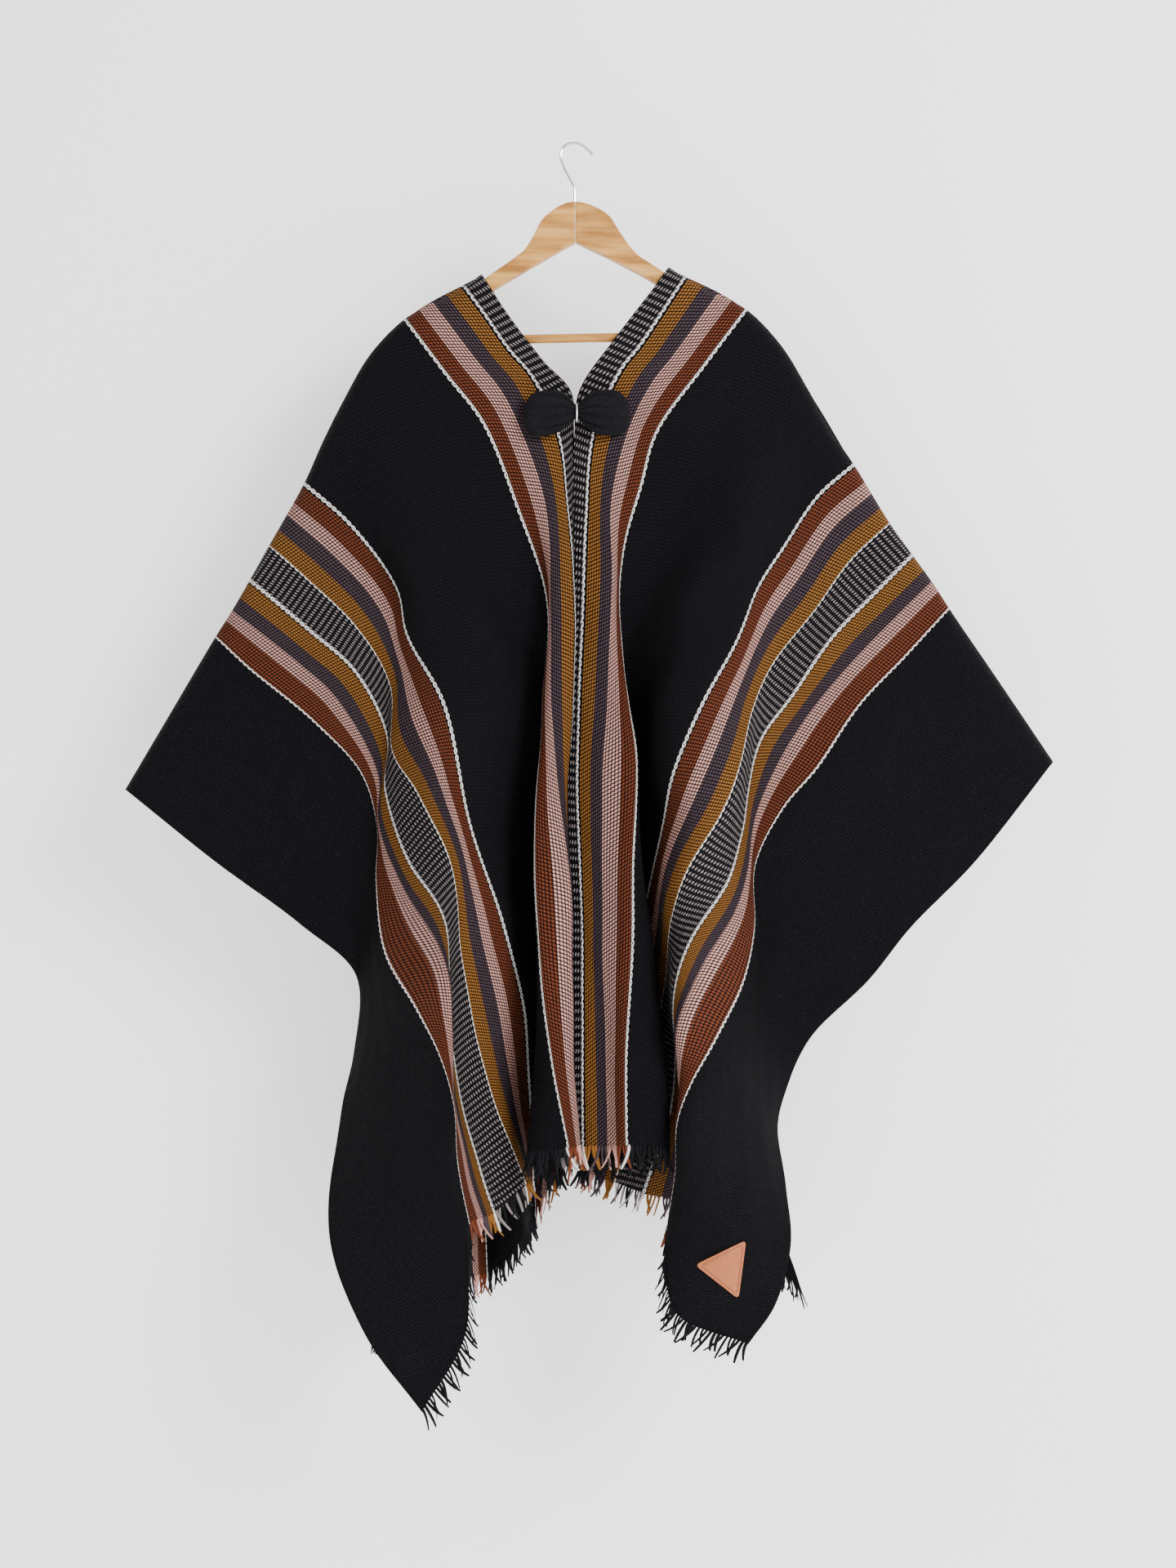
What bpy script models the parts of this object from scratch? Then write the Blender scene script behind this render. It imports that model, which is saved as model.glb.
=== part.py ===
"""Striped open-front wool poncho hanging on its wooden hanger.

Metres, +Z up. The origin is the inner top of the hanger's hook, the front faces -Y.
The tables are in millimetres, as seen from a viewer in front: across is positive to
the right, down is below the origin, out is towards the viewer. seen_point turns such a
row into a place in space.
"""
import math

import bmesh
import bpy
from mathutils import Vector
from mathutils.bvhtree import BVHTree

MM = 0.001
WALL = 2.4
GAP = 0.3
VIEW_DISTANCE = 2400
VIEW_ACROSS = 15
VIEW_DOWN = 744

SHOULDER_SIDE = 9
SHOULDER_DROP = 6
SEAM_TOP = 303
SEAM_HALF = 1.4

FRINGE_PITCH = 22
FRINGE_STRIP = 3
FRINGE_GAP = 0.9
FRINGE_LENGTH = 24
FRINGE_TIP = 0.4

ARM_THICKNESS = 12
BAR_RADIUS = 5.2
WIRE_RADIUS = 1.5

PATCH_THICKNESS = 1.6
PATCH_SIDE_STEPS = 8
PATCH_LIFT = 0.5
PATCH_PASSES = 10

# Columns of a thread: name, distance from the inner edge, way points (across, down, out).
LEFT_FRONT = (
    ("edge", 0, ((-108, 152, 0), (-76, 201, 9), (-37, 252, 10), (-4, 289, 12), (-3, 345, 14),
                 (-6, 497, 28), (-13, 649, 40), (-23, 782, 50), (-30, 934, 58), (-30, 1067, 64),
                 (-23, 1165, 70))),
    ("white_1", 28, ((-128, 167, 0), (-103, 201, 9), (-76, 240, 10), (-50, 270, 11),
                     (-19, 339, 14), (-9, 421, 24), (-1, 530, 42), (-3, 649, 53), (-10, 782, 63),
                     (-16, 934, 71), (-14, 1067, 76), (-6, 1165, 80))),
    ("plum_1", 67, ((-163, 186, 0), (-113, 252, 10), (-84, 288, 12), (-60, 338, 14),
                    (-33, 421, 24), (-28, 530, 42), (-27, 649, 60), (-18, 760, 72),
                    (-6, 860, 80), (-3, 950, 84), (-2, 1067, 88), (6, 1165, 92))),
    ("white_2", 104, ((-197, 204, 0), (-149, 268, 10), (-106, 324, 12), (-67, 420, 16),
                      (-32, 530, 20), (-36, 649, 44), (-46, 801, 74), (-42, 937, 86),
                      (-26, 1068, 93), (-7, 1167, 98))),
    ("black_a", 165, ((-238, 246, 0), (-192, 311, 12), (-145, 389, 22), (-85, 540, 26),
                      (-22, 649, -4), (-26, 782, 14), (-34, 934, 28), (-47, 1067, 58),
                      (-55, 1172, 74))),
    ("black_b", 225, ((-268, 298, 0), (-235, 353, 18), (-209, 395, 30), (-170, 465, 50),
                      (-112, 540, 62), (-60, 649, 18), (-38, 782, -10), (-16, 934, -30),
                      (-24, 1067, 4), (-34, 1180, 20))),
    ("black_c", 285, ((-293, 348, 0), (-252, 395, 18), (-216, 455, 34), (-170, 540, 58),
                      (-108, 649, 62), (-86, 782, 36), (-46, 934, 2), (-16, 1067, -34),
                      (-14, 1190, -30))),
    ("white_3", 335, ((-314, 395, 0), (-259, 444, 14), (-206, 517, 22), (-196, 569, 40),
                      (-152, 651, 82), (-121, 801, 76), (-86, 900, 58), (-60, 1006, 26),
                      (-54, 1090, -12), (-50, 1199, -28))),
    ("white_4", 412, ((-354, 466, 0), (-308, 507, 12), (-254, 560, 18), (-213, 630, 22),
                      (-211, 704, 36), (-182, 754, 68), (-144, 835, 98), (-132, 943, 88),
                      (-116, 1030, 72), (-91, 1120, 46), (-56, 1209, 26))),
    ("white_5", 465, ((-377, 507, 0), (-308, 565, 12), (-254, 614, 16), (-218, 688, 20),
                      (-220, 752, 28), (-192, 833, 62), (-152, 899, 100), (-146, 1000, 90),
                      (-136, 1098, 74), (-114, 1185, 58), (-94, 1243, 50))),
    ("pink_2", 510, ((-399, 545, 0), (-322, 606, 12), (-279, 646, 14), (-229, 735, 18),
                     (-228, 790, 24), (-200, 866, 58), (-152, 950, 106), (-144, 1030, 108),
                     (-142, 1110, 92), (-126, 1190, 76), (-108, 1249, 70))),
    ("white_6", 545, ((-418, 575, 0), (-381, 610, 10), (-303, 674, 14), (-249, 732, 16),
                      (-230, 795, 18), (-231, 860, 24), (-222, 941, 52), (-184, 1008, 90),
                      (-158, 1060, 108), (-143, 1112, 112), (-138, 1181, 102),
                      (-124, 1257, 92))),
    ("black_d", 650, ((-470, 663, 0), (-352, 762, 9), (-256, 860, 12), (-243, 924, 20),
                      (-232, 1019, 50), (-224, 1114, 80), (-208, 1209, 98), (-182, 1292, 106),
                      (-127, 1382, 100))),
    ("selvedge", 755, ((-522, 751, 0), (-420, 833, 6), (-318, 908, 8), (-254, 967, 10),
                       (-257, 1056, 20), (-271, 1125, 40), (-286, 1237, 64), (-280, 1294, 76),
                       (-243, 1386, 86), (-178, 1474, 92))),
)

RIGHT_FRONT = (
    ("edge", 0, ((108, 144, 0), (90, 169, 8), (50, 221, 10), (4, 289, 11), (-1, 345, 10),
                 (-11, 430, 13), (-15, 530, 20), (-17, 649, 28), (-16, 782, 37),
                 (-13, 934, 45), (-12, 1067, 51), (-8, 1165, 57))),
    ("white_1", 28, ((127, 156, 0), (101, 196, 9), (75, 235, 10), (53, 263, 11), (22, 335, 13),
                     (13, 435, 20), (10, 530, 28), (5, 649, 38), (4, 776, 46), (7, 860, 52),
                     (9, 934, 55), (9, 1067, 62), (10, 1165, 67))),
    ("plum_1", 67, ((163, 176, 0), (112, 247, 10), (90, 275, 11), (64, 325, 13), (42, 410, 24),
                    (42, 497, 34), (40, 573, 44), (37, 649, 52), (31, 744, 60), (32, 934, 66),
                    (36, 1067, 70), (38, 1165, 74))),
    ("white_2", 104, ((198, 193, 0), (149, 258, 10), (94, 335, 13), (76, 397, 15),
                      (56, 466, 19), (50, 530, 24), (62, 649, 58), (71, 720, 72), (67, 839, 80),
                      (66, 937, 86), (59, 1067, 92), (60, 1164, 96))),
    ("black_a", 165, ((239, 235, 0), (197, 295, 10), (148, 363, 16), (115, 470, 18),
                      (66, 570, 6), (44, 649, 6), (67, 782, 34), (90, 934, 48),
                      (105, 1067, 74), (108, 1168, 82))),
    ("black_b", 225, ((270, 286, 0), (244, 333, 16), (201, 390, 30), (178, 466, 44),
                      (122, 545, 54), (82, 640, 20), (60, 715, -12), (42, 782, -22), (52, 934, 2),
                      (68, 1067, 20), (72, 1176, 18))),
    ("black_c", 285, ((298, 336, 0), (264, 378, 14), (226, 440, 30), (182, 520, 52),
                      (106, 645, 76), (80, 782, 8), (34, 934, -40), (26, 1067, -28),
                      (18, 1184, -20))),
    ("white_3", 335, ((323, 373, 0), (282, 409, 12), (241, 470, 20), (211, 517, 36),
                      (185, 582, 68), (147, 652, 90), (117, 725, 92), (101, 795, 50),
                      (72, 934, -20), (34, 1067, -56), (8, 1190, -56))),
    ("white_4", 412, ((364, 440, 0), (318, 484, 12), (277, 542, 18), (231, 600, 26),
                      (206, 654, 50), (191, 716, 80), (166, 781, 98), (130, 842, 104),
                      (113, 895, 84), (106, 955, 34), (86, 1075, -26), (46, 1206, -44))),
    ("white_5", 465, ((391, 478, 0), (346, 524, 12), (297, 575, 16), (252, 641, 18),
                      (216, 690, 22), (200, 750, 28), (194, 801, 40), (177, 857, 72),
                      (135, 924, 102), (116, 985, 96), (118, 1055, 40), (112, 1120, 18),
                      (80, 1220, -2))),
    ("pink_2", 510, ((415, 511, 0), (315, 613, 14), (262, 680, 14), (212, 776, 20),
                     (200, 845, 36), (186, 892, 66), (150, 953, 100), (121, 1022, 112),
                     (120, 1080, 88), (126, 1140, 60), (116, 1230, 38))),
    ("white_6", 545, ((435, 542, 0), (384, 598, 10), (333, 652, 14), (283, 726, 14),
                      (242, 774, 16), (209, 840, 20), (208, 912, 28), (196, 978, 52),
                      (164, 1043, 90), (136, 1093, 108), (120, 1140, 112), (118, 1200, 96),
                      (107, 1266, 84))),
    ("black_d", 650, ((495, 630, 0), (409, 723, 9), (339, 819, 10), (272, 905, 12),
                      (229, 981, 20), (216, 1057, 42), (202, 1133, 70), (188, 1209, 90),
                      (162, 1292, 102), (116, 1357, 100))),
    ("selvedge", 755, ((555, 719, 0), (466, 833, 6), (391, 910, 8), (341, 972, 8),
                       (274, 1038, 10), (244, 1100, 14), (235, 1141, 24), (245, 1210, 44),
                       (250, 1278, 66), (233, 1348, 80), (201, 1395, 86))),
)

LEFT_BACK = (
    ("edge", 0, ((-108, 152, 0), (-76, 201, -9), (-37, 252, -11), (-8, 290, -13), (-1, 308, -15),
                 (-0.6, 400, -24), (-0.6, 520, -32), (-0.6, 860, -52), (-0.6, 1165, -62))),
    ("white_2", 104, ((-197, 204, 0), (-149, 272, -11), (-112, 350, -22), (-84, 520, -60),
                      (-60, 860, -100), (-46, 1240, -106))),
    ("black_b", 225, ((-268, 298, 0), (-225, 368, -18), (-192, 470, -32), (-156, 620, -40),
                      (-104, 900, -44), (-62, 1272, -58))),
    ("white_3", 335, ((-314, 395, 0), (-259, 448, -14), (-216, 530, -34), (-186, 660, -76),
                      (-150, 900, -108), (-112, 1110, -112), (-102, 1312, -98))),
    ("gold_2", 440, ((-366, 488, 0), (-296, 548, -12), (-236, 640, -20), (-212, 760, -36),
                     (-184, 940, -50), (-160, 1120, -52), (-150, 1318, -48))),
    ("white_6", 545, ((-418, 575, 0), (-303, 674, -12), (-240, 755, -18), (-226, 860, -56),
                      (-208, 1000, -98), (-196, 1150, -108), (-190, 1326, -96))),
    ("black_d", 650, ((-470, 663, 0), (-352, 760, -8), (-254, 855, -12), (-240, 950, -26),
                      (-234, 1060, -44), (-230, 1200, -50), (-222, 1372, -40))),
    ("selvedge", 755, ((-521, 750, 0), (-418, 829, -6), (-318, 902, -7), (-254, 960, -10),
                       (-246, 1050, -14), (-252, 1150, -22), (-262, 1260, -34),
                       (-236, 1384, -50))),
)

RIGHT_BACK = (
    ("edge", 0, ((108, 144, 0), (76, 192, -9), (37, 246, -11), (8, 287, -13), (1, 308, -15),
                 (0.6, 400, -24), (0.6, 520, -32), (0.6, 860, -52), (0.6, 1165, -62))),
    ("white_2", 104, ((198, 193, 0), (149, 264, -11), (114, 350, -22), (88, 520, -60),
                      (66, 860, -100), (48, 1176, -110))),
    ("black_b", 225, ((270, 286, 0), (229, 360, -18), (196, 470, -32), (160, 620, -40),
                      (122, 900, -46), (92, 1196, -52))),
    ("white_3", 335, ((323, 373, 0), (265, 428, -14), (226, 530, -30), (200, 660, -76),
                      (172, 900, -112), (136, 1215, -112))),
    ("gold_2", 440, ((378, 460, 0), (312, 540, -12), (248, 640, -18), (222, 760, -36),
                     (200, 940, -50), (170, 1240, -56))),
    ("white_6", 545, ((435, 542, 0), (333, 650, -12), (262, 745, -18), (236, 860, -56),
                      (216, 1000, -96), (198, 1256, -104))),
    ("black_d", 650, ((495, 630, 0), (406, 722, -8), (300, 862, -12), (246, 980, -26),
                      (226, 1100, -44), (222, 1290, -56))),
    ("selvedge", 755, ((554, 718, 0), (462, 829, -6), (388, 904, -7), (300, 1002, -10),
                       (244, 1080, -14), (230, 1160, -24), (236, 1250, -36), (262, 1330, -50))),
)

# Distances from the inner edge where the cloth has a column of points.
COLUMNS = (0, 14, 30, 49, 67, 84, 104, 124, 144, 165, 185, 205, 225, 245, 265, 285, 310, 335,
           361, 387, 412, 438, 465, 488, 510, 528, 545, 580, 615, 650, 702, 755)
# Fractions of a thread's length, from the shoulder to a hem, where a row of points lies.
ROWS = (0.028, 0.06, 0.1, 0.15, 0.2, 0.25, 0.3, 0.35, 0.4, 0.45, 0.5, 0.55, 0.6, 0.65, 0.7,
        0.75, 0.8, 0.85, 0.9, 0.95, 1.0)

# Hanger outlines, (across, down), the upper edge outwards and then the lower edge back.
LEFT_ARM = ((0.35, 68), (-11, 70), (-26, 78), (-39, 90), (-49, 109), (-59, 124), (-70, 133),
            (-84, 143), (-98, 152.6), (-112, 163.4), (-128, 174.4), (-162, 194.4), (-190, 211.4),
            (-202, 221), (-208, 229), (-207, 236), (-196, 240), (-180, 230), (-150, 210),
            (-95, 171), (-40, 138), (0.35, 115))
RIGHT_ARM = ((0.65, 68), (12, 70), (27, 76), (40, 85), (50, 100), (63, 119), (73, 130),
             (85, 138.2), (98, 146.6), (112, 156.4), (128, 166.4), (161, 184.4), (192, 201.4),
             (206, 211), (211, 219), (210, 227), (199, 231), (184, 222), (150, 202),
             (92, 162), (40, 134), (0.65, 115))
BAR_ENDS = ((-198, 229.5), (201, 222))
HOOK_ROUTE = ((-0.5, 67.4), (-0.8, 60), (-1, 51), (-5.7, 41.8), (-10, 34), (-13.4, 26.6),
              (-16, 19), (-16.8, 12), (-14.6, 5), (-9.5, 0.6), (-2, -1.5), (6.2, 0.6),
              (13, 5.4), (17, 9), (20, 13))

# Columns of a bow lobe: distance from the middle, half height, half depth.
LOBE_SECTIONS = ((1.5, 11, 5), (7, 17, 7), (15, 22, 9.5), (26, 25.5, 11), (38, 26, 11),
                 (48, 22, 9.5), (55, 13, 6.5), (58, 4, 2.5))
BOW_CENTRE = (2, 313)
BOW_OUT = 25.6
BOW_SEGMENTS = 14
BOW_PLEATS = 5
BOW_PLEAT_DEPTH = 0.07

PATCH_CORNERS = ((139, 1303), (199, 1274), (190, 1343))
PATCH_ROUND = 0.07

# Base colour, roughness and metalness of each material.
COLOURS = {
    "black_wool": ((0.010, 0.0095, 0.012), 0.95, 0.0),
    "tan_leather": ((0.62, 0.25, 0.10), 0.55, 0.0),
    "pale_wood": ((0.72, 0.40, 0.14), 0.42, 0.0),
    "chrome": ((0.80, 0.80, 0.82), 0.18, 1.0),
}


def seen_point(across, down, out):
    """Place in metres of a point that the viewer sees at across and down."""
    nearness = (VIEW_DISTANCE - out) / VIEW_DISTANCE
    x = VIEW_ACROSS + (across - VIEW_ACROSS) * nearness
    z = -VIEW_DOWN - (down - VIEW_DOWN) * nearness
    return Vector((x, -out, z)) * MM


def smooth_route(points, steps):
    """Points on one smooth curve through the given points, evenly spread by length."""
    knots = [0.0]
    for first, second in zip(points, points[1:]):
        knots.append(knots[-1] + (second - first).length ** 0.5)
    dense = []
    for index in range(len(points) - 1):
        for step in range(12):
            dense.append(spline_at(points, knots, index, step / 12))
    dense.append(points[-1].copy())
    lengths = [0.0]
    for first, second in zip(dense, dense[1:]):
        lengths.append(lengths[-1] + (second - first).length)
    placed = []
    segment = 0
    for step in steps:
        wanted = step * lengths[-1]
        while segment < len(dense) - 2 and lengths[segment + 1] < wanted:
            segment += 1
        span = lengths[segment + 1] - lengths[segment]
        share = (wanted - lengths[segment]) / span
        placed.append(dense[segment].lerp(dense[segment + 1], min(max(share, 0), 1)))
    return placed


def spline_at(points, knots, index, share):
    """Hermite curve between two neighbours, with slopes from the points around them."""
    start, end = points[index], points[index + 1]
    span = knots[index + 1] - knots[index]
    slope_in = slope_at(points, knots, index) * span
    slope_out = slope_at(points, knots, index + 1) * span
    square, cube = share ** 2, share ** 3
    return (start * (2 * cube - 3 * square + 1) + slope_in * (cube - 2 * square + share)
            + end * (3 * square - 2 * cube) + slope_out * (cube - square))


def slope_at(points, knots, index):
    """Slope of the curve at one point, from its neighbours."""
    before, after = max(index - 1, 0), min(index + 1, len(points) - 1)
    if before == index or after == index:
        return (points[after] - points[before]) / (knots[after] - knots[before])
    left, right = knots[index] - knots[before], knots[after] - knots[index]
    slope_left = (points[index] - points[before]) / left
    slope_right = (points[after] - points[index]) / right
    return (slope_left * right + slope_right * left) / (left + right)


def hung_thread(ways, side):
    """Way points of one warp thread from the shoulder to a hem, over the arm's top."""
    top, following = ways[0], ways[1]
    run = math.hypot(following[0] - top[0], following[1] - top[1])
    share = SHOULDER_DROP / run
    points = [seen_point(*top)]
    points.append(seen_point(top[0] + (following[0] - top[0]) * share,
                             top[1] + (following[1] - top[1]) * share, side * SHOULDER_SIDE))
    points += [seen_point(*way) for way in ways[1:]]
    return points


def cloth_rows(threads, side, steps, columns):
    """Grid of points of half a panel: one row for each step, one point for each column."""
    places = [thread[1] for thread in threads]
    routes = [smooth_route(hung_thread(thread[2], side), steps) for thread in threads]
    rows = []
    for row in range(len(steps)):
        guides = [route[row] for route in routes]
        rows.append([across_threads(guides, places, column) for column in columns])
    return rows


def across_threads(guides, places, column):
    """Point of a weft line at one column, on a smooth curve through the guide threads."""
    index = 0
    while index < len(places) - 2 and places[index + 1] < column:
        index += 1
    share = (column - places[index]) / (places[index + 1] - places[index])
    knots = [0.0]
    for first, second in zip(guides, guides[1:]):
        knots.append(knots[-1] + (second - first).length ** 0.5)
    return spline_at(guides, knots, index, share)


def panel_grid(front, back):
    """All rows of one panel, from the front hem over the shoulder to the back hem."""
    steps = (0.0, 0.005, 0.01, 0.017) + ROWS
    front_rows = cloth_rows(front, 1, steps, COLUMNS)
    back_rows = cloth_rows(back, -1, steps, COLUMNS)
    side = math.copysign(1, front[-1][2][0][0])
    for row in back_rows:
        if row[0].z < -SEAM_TOP * MM:
            row[0].x = side * SEAM_HALF * MM
    return list(reversed(front_rows)) + back_rows[1:]


def new_object(name, mesh, material, collection):
    """Object of a mesh, with one material slot, in the collection."""
    thing = bpy.data.objects.new(name, mesh)
    mesh.materials.clear()
    mesh.materials.append(material)
    collection.objects.link(thing)
    return thing


def make_material(name):
    """Principled material from the colour table."""
    colour, roughness, metallic = COLOURS[name]
    material = bpy.data.materials.new(name)
    material.use_nodes = True
    shader = material.node_tree.nodes["Principled BSDF"]
    shader.inputs["Base Color"].default_value = (*colour, 1.0)
    shader.inputs["Roughness"].default_value = roughness
    shader.inputs["Metallic"].default_value = metallic
    return material


def finish_mesh(name, shape, smooth=True):
    """Mesh of a bmesh, with its faces turned outwards."""
    bmesh.ops.recalc_face_normals(shape, faces=shape.faces)
    mesh = bpy.data.meshes.new(name)
    shape.to_mesh(mesh)
    shape.free()
    if smooth:
        mesh.shade_smooth()
    return mesh


def grid_sheet(rows):
    """Triangles through a grid of points, split along the shorter diagonals."""
    shape = bmesh.new()
    lines = [[shape.verts.new(point) for point in row] for row in rows]
    for upper, lower in zip(lines, lines[1:]):
        for index in range(len(upper) - 1):
            ring = (upper[index], upper[index + 1], lower[index + 1], lower[index])
            falling = (ring[0].co - ring[2].co).length
            rising = (ring[1].co - ring[3].co).length
            if falling > rising:
                ring = ring[1:] + ring[:1]
            shape.faces.new((ring[0], ring[1], ring[2]))
            shape.faces.new((ring[0], ring[2], ring[3]))
    return shape


def grid_mesh(name, rows):
    """Open sheet through a grid of points."""
    return finish_mesh(name, grid_sheet(rows))


def make_panel(name, rows, material, collection):
    """Cloth wall of one panel, half its thickness to each side of the grid."""
    panel = new_object(name, grid_mesh(name, rows), material, collection)
    wall = panel.modifiers.new("wall", "SOLIDIFY")
    wall.thickness = WALL * MM
    wall.offset = 0.0
    return panel


def hem_frames(rows):
    """Point, outward direction and normal of the cloth's end, at stations along the hem.

    rows starts at the hem. Each column is a station, and wide spans get more.
    """
    ends, inner = rows[0], rows[1]
    ways = [(end - before).normalized() for end, before in zip(ends, inner)]
    frames = []
    for index in range(len(ends) - 1):
        along = (ends[index + 1] - ends[index]).normalized()
        count = max(1, round((ends[index + 1] - ends[index]).length / (FRINGE_PITCH * MM)))
        for step in range(count):
            share = step / count
            way = ways[index].lerp(ways[index + 1], share).normalized()
            square = (way - along * way.dot(along)).normalized()
            way = (way + square).normalized()
            frames.append([ends[index].lerp(ends[index + 1], share), way,
                           along.cross(way).normalized()])
    frames.append([ends[-1], ways[-1], frames[-1][2]])
    ways = [frame[1] for frame in frames]
    for index in range(1, len(frames) - 1):
        frames[index][1] = (ways[index - 1] + ways[index] * 2 + ways[index + 1]).normalized()
    for index in range(len(frames) - 1, 0, -1):
        if frames[index][2].dot(frames[index - 1][2]) > -0.5:
            frames[index][2] = (frames[index][2] + frames[index - 1][2]).normalized()
    return frames


def make_fringe(name, rows, material, collection):
    """Strands side by side, their roots fused into a narrow strip just past the hem.

    rows starts at the hem.
    """
    frames = hem_frames(rows)
    shape = bmesh.new()
    half_wall = WALL * MM * 0.4
    top_line, bottom_line = [], []
    for point, outward, normal in frames:
        top = point + outward * FRINGE_GAP * MM
        bottom = top + outward * FRINGE_STRIP * MM
        top_line.append([shape.verts.new(top + normal * half_wall * face) for face in (-1, 1)])
        bottom_line.append([shape.verts.new(bottom + normal * half_wall * face)
                            for face in (-1, 1)])
    for index in range(len(frames) - 1):
        tops = top_line[index], top_line[index + 1]
        bottoms = bottom_line[index], bottom_line[index + 1]
        shape.faces.new((tops[0][0], tops[1][0], tops[1][1], tops[0][1]))
        for face in (0, 1):
            shape.faces.new((tops[0][face], tops[1][face], bottoms[1][face], bottoms[0][face]))
        add_strand(shape, bottoms, frames[index], frames[index + 1], index)
    for line in (0, -1):
        shape.faces.new((top_line[line][0], top_line[line][1], bottom_line[line][1],
                         bottom_line[line][0]))
    return new_object(name, finish_mesh(name, shape, smooth=False), material, collection)


def add_strand(shape, bottoms, first, second, index):
    """One four-sided strand that narrows from its root to its tip."""
    outward = (first[1] + second[1]).normalized()
    length = FRINGE_LENGTH * (0.86 + 0.14 * math.sin(index * 2.3)) * MM
    roots = (bottoms[0][0], bottoms[1][0], bottoms[1][1], bottoms[0][1])
    middle = sum((root.co for root in roots), Vector()) / 4
    tips = []
    for root in roots:
        tips.append(shape.verts.new(middle + (root.co - middle) * FRINGE_TIP + outward * length))
    for side in range(4):
        after = (side + 1) % 4
        shape.faces.new((roots[side], roots[after], tips[after], tips[side]))
    shape.faces.new(tips)


def curve_object(name, points, radius, fill, extrude, resolution, cyclic):
    """Curve through points: a round wire, or a flat filled outline."""
    data = bpy.data.curves.new(name, "CURVE")
    data.dimensions = "2D" if fill else "3D"
    spline = data.splines.new("POLY")
    spline.points.add(len(points) - 1)
    for target, point in zip(spline.points, points):
        target.co = (*point, 1.0)
    spline.use_cyclic_u = cyclic
    data.bevel_depth = radius
    data.bevel_resolution = resolution
    if fill:
        data.fill_mode = "BOTH"
        data.extrude = extrude
    else:
        data.use_fill_caps = True
    return bpy.data.objects.new(name, data)


def meshed(thing, name, material, collection):
    """Mesh object in place of a curve, with its caps welded on."""
    collection.objects.link(thing)
    bpy.context.view_layer.update()
    evaluated = thing.evaluated_get(bpy.context.evaluated_depsgraph_get())
    mesh = bpy.data.meshes.new_from_object(evaluated)
    placed = thing.matrix_world.copy()
    bpy.data.objects.remove(thing)
    shape = bmesh.new()
    shape.from_mesh(mesh)
    bmesh.ops.remove_doubles(shape, verts=shape.verts, dist=0.00001)
    bmesh.ops.recalc_face_normals(shape, faces=shape.faces)
    shape.to_mesh(mesh)
    shape.free()
    solid = new_object(name, mesh, material, collection)
    solid.matrix_world = placed
    return solid


def make_arm(name, outline, material, collection, cutters):
    """Flat wooden half of the hanger, with a blind hole for the bar."""
    points = [Vector((across * MM, -down * MM, 0.0)) for across, down in outline]
    edge = 1.6 * MM
    arm = curve_object(name, points, edge, True, (ARM_THICKNESS / 2 - 1.6) * MM, 1, True)
    arm.data.offset = -edge
    arm.rotation_euler = (math.radians(90), 0, 0)
    arm = meshed(arm, name, material, collection)
    socket = arm.modifiers.new("bar_hole", "BOOLEAN")
    socket.operation = "DIFFERENCE"
    socket.object = cutters["bar_hole"]
    return arm


def bar_between(name, radius, extra, segments):
    """Cylinder along the bar's line, longer than it by extra at each end."""
    ends = [Vector((across * MM, 0.0, -down * MM)) for across, down in BAR_ENDS]
    line = ends[1] - ends[0]
    bpy.ops.mesh.primitive_cylinder_add(vertices=segments, radius=radius * MM,
                                        depth=line.length + 2 * extra * MM)
    bar = bpy.context.object
    bar.name = name
    bar.location = (ends[0] + ends[1]) / 2
    bar.rotation_euler = line.to_track_quat("Z", "Y").to_euler()
    return bar


def make_bar(material, collection):
    """Round wooden bar between the arms."""
    bar = bar_between("trouser_bar", BAR_RADIUS, 0, 20)
    bar.data.materials.append(material)
    bar.data.shade_smooth()
    move_to(bar, collection)
    return bar


def move_to(thing, collection):
    """Take an object out of its collections and into this one."""
    for holder in list(thing.users_collection):
        holder.objects.unlink(thing)
    collection.objects.link(thing)


def make_hook(material, collection):
    """Bent wire hook on one smooth curve."""
    route = [Vector((across * MM, 0.0, -down * MM)) for across, down in HOOK_ROUTE]
    count = 25
    points = smooth_route(route, [step / count for step in range(count + 1)])
    wire = curve_object("hook", points, WIRE_RADIUS * MM, False, 0, 2, False)
    hook = meshed(wire, "hook", material, collection)
    hook.data.shade_smooth()
    return hook


def make_lobe(name, side, material, collection):
    """Puffed cloth lobe of the bow, gathered towards the middle."""
    shape = bmesh.new()
    rings = []
    for reach, high, deep in LOBE_SECTIONS:
        ring = []
        for step in range(BOW_SEGMENTS):
            turn = 2 * math.pi * step / BOW_SEGMENTS
            pleat = 1 + BOW_PLEAT_DEPTH * math.cos(BOW_PLEATS * turn)
            centre = BOW_CENTRE[0] + side * reach
            point = seen_point(centre, BOW_CENTRE[1] + high * pleat * math.sin(turn),
                               BOW_OUT + deep * pleat * math.cos(turn))
            ring.append(shape.verts.new(point))
        rings.append(ring)
    for first, second in zip(rings, rings[1:]):
        for step in range(BOW_SEGMENTS):
            after = (step + 1) % BOW_SEGMENTS
            shape.faces.new((first[step], first[after], second[after], second[step]))
    shape.faces.new(rings[0])
    shape.faces.new(rings[-1])
    return new_object(name, finish_mesh(name, shape), material, collection)


def make_link(material, collection):
    """Small metal ring that joins the two lobes."""
    bpy.ops.mesh.primitive_torus_add(major_segments=20, minor_segments=8,
                                     major_radius=0.0052, minor_radius=0.0011)
    link = bpy.context.object
    link.name = "bow_link"
    link.location = seen_point(BOW_CENTRE[0], BOW_CENTRE[1] - 14, BOW_OUT)
    link.rotation_euler = (0, math.radians(90), 0)
    link.data.materials.append(material)
    link.data.shade_smooth()
    move_to(link, collection)
    return link


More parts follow.
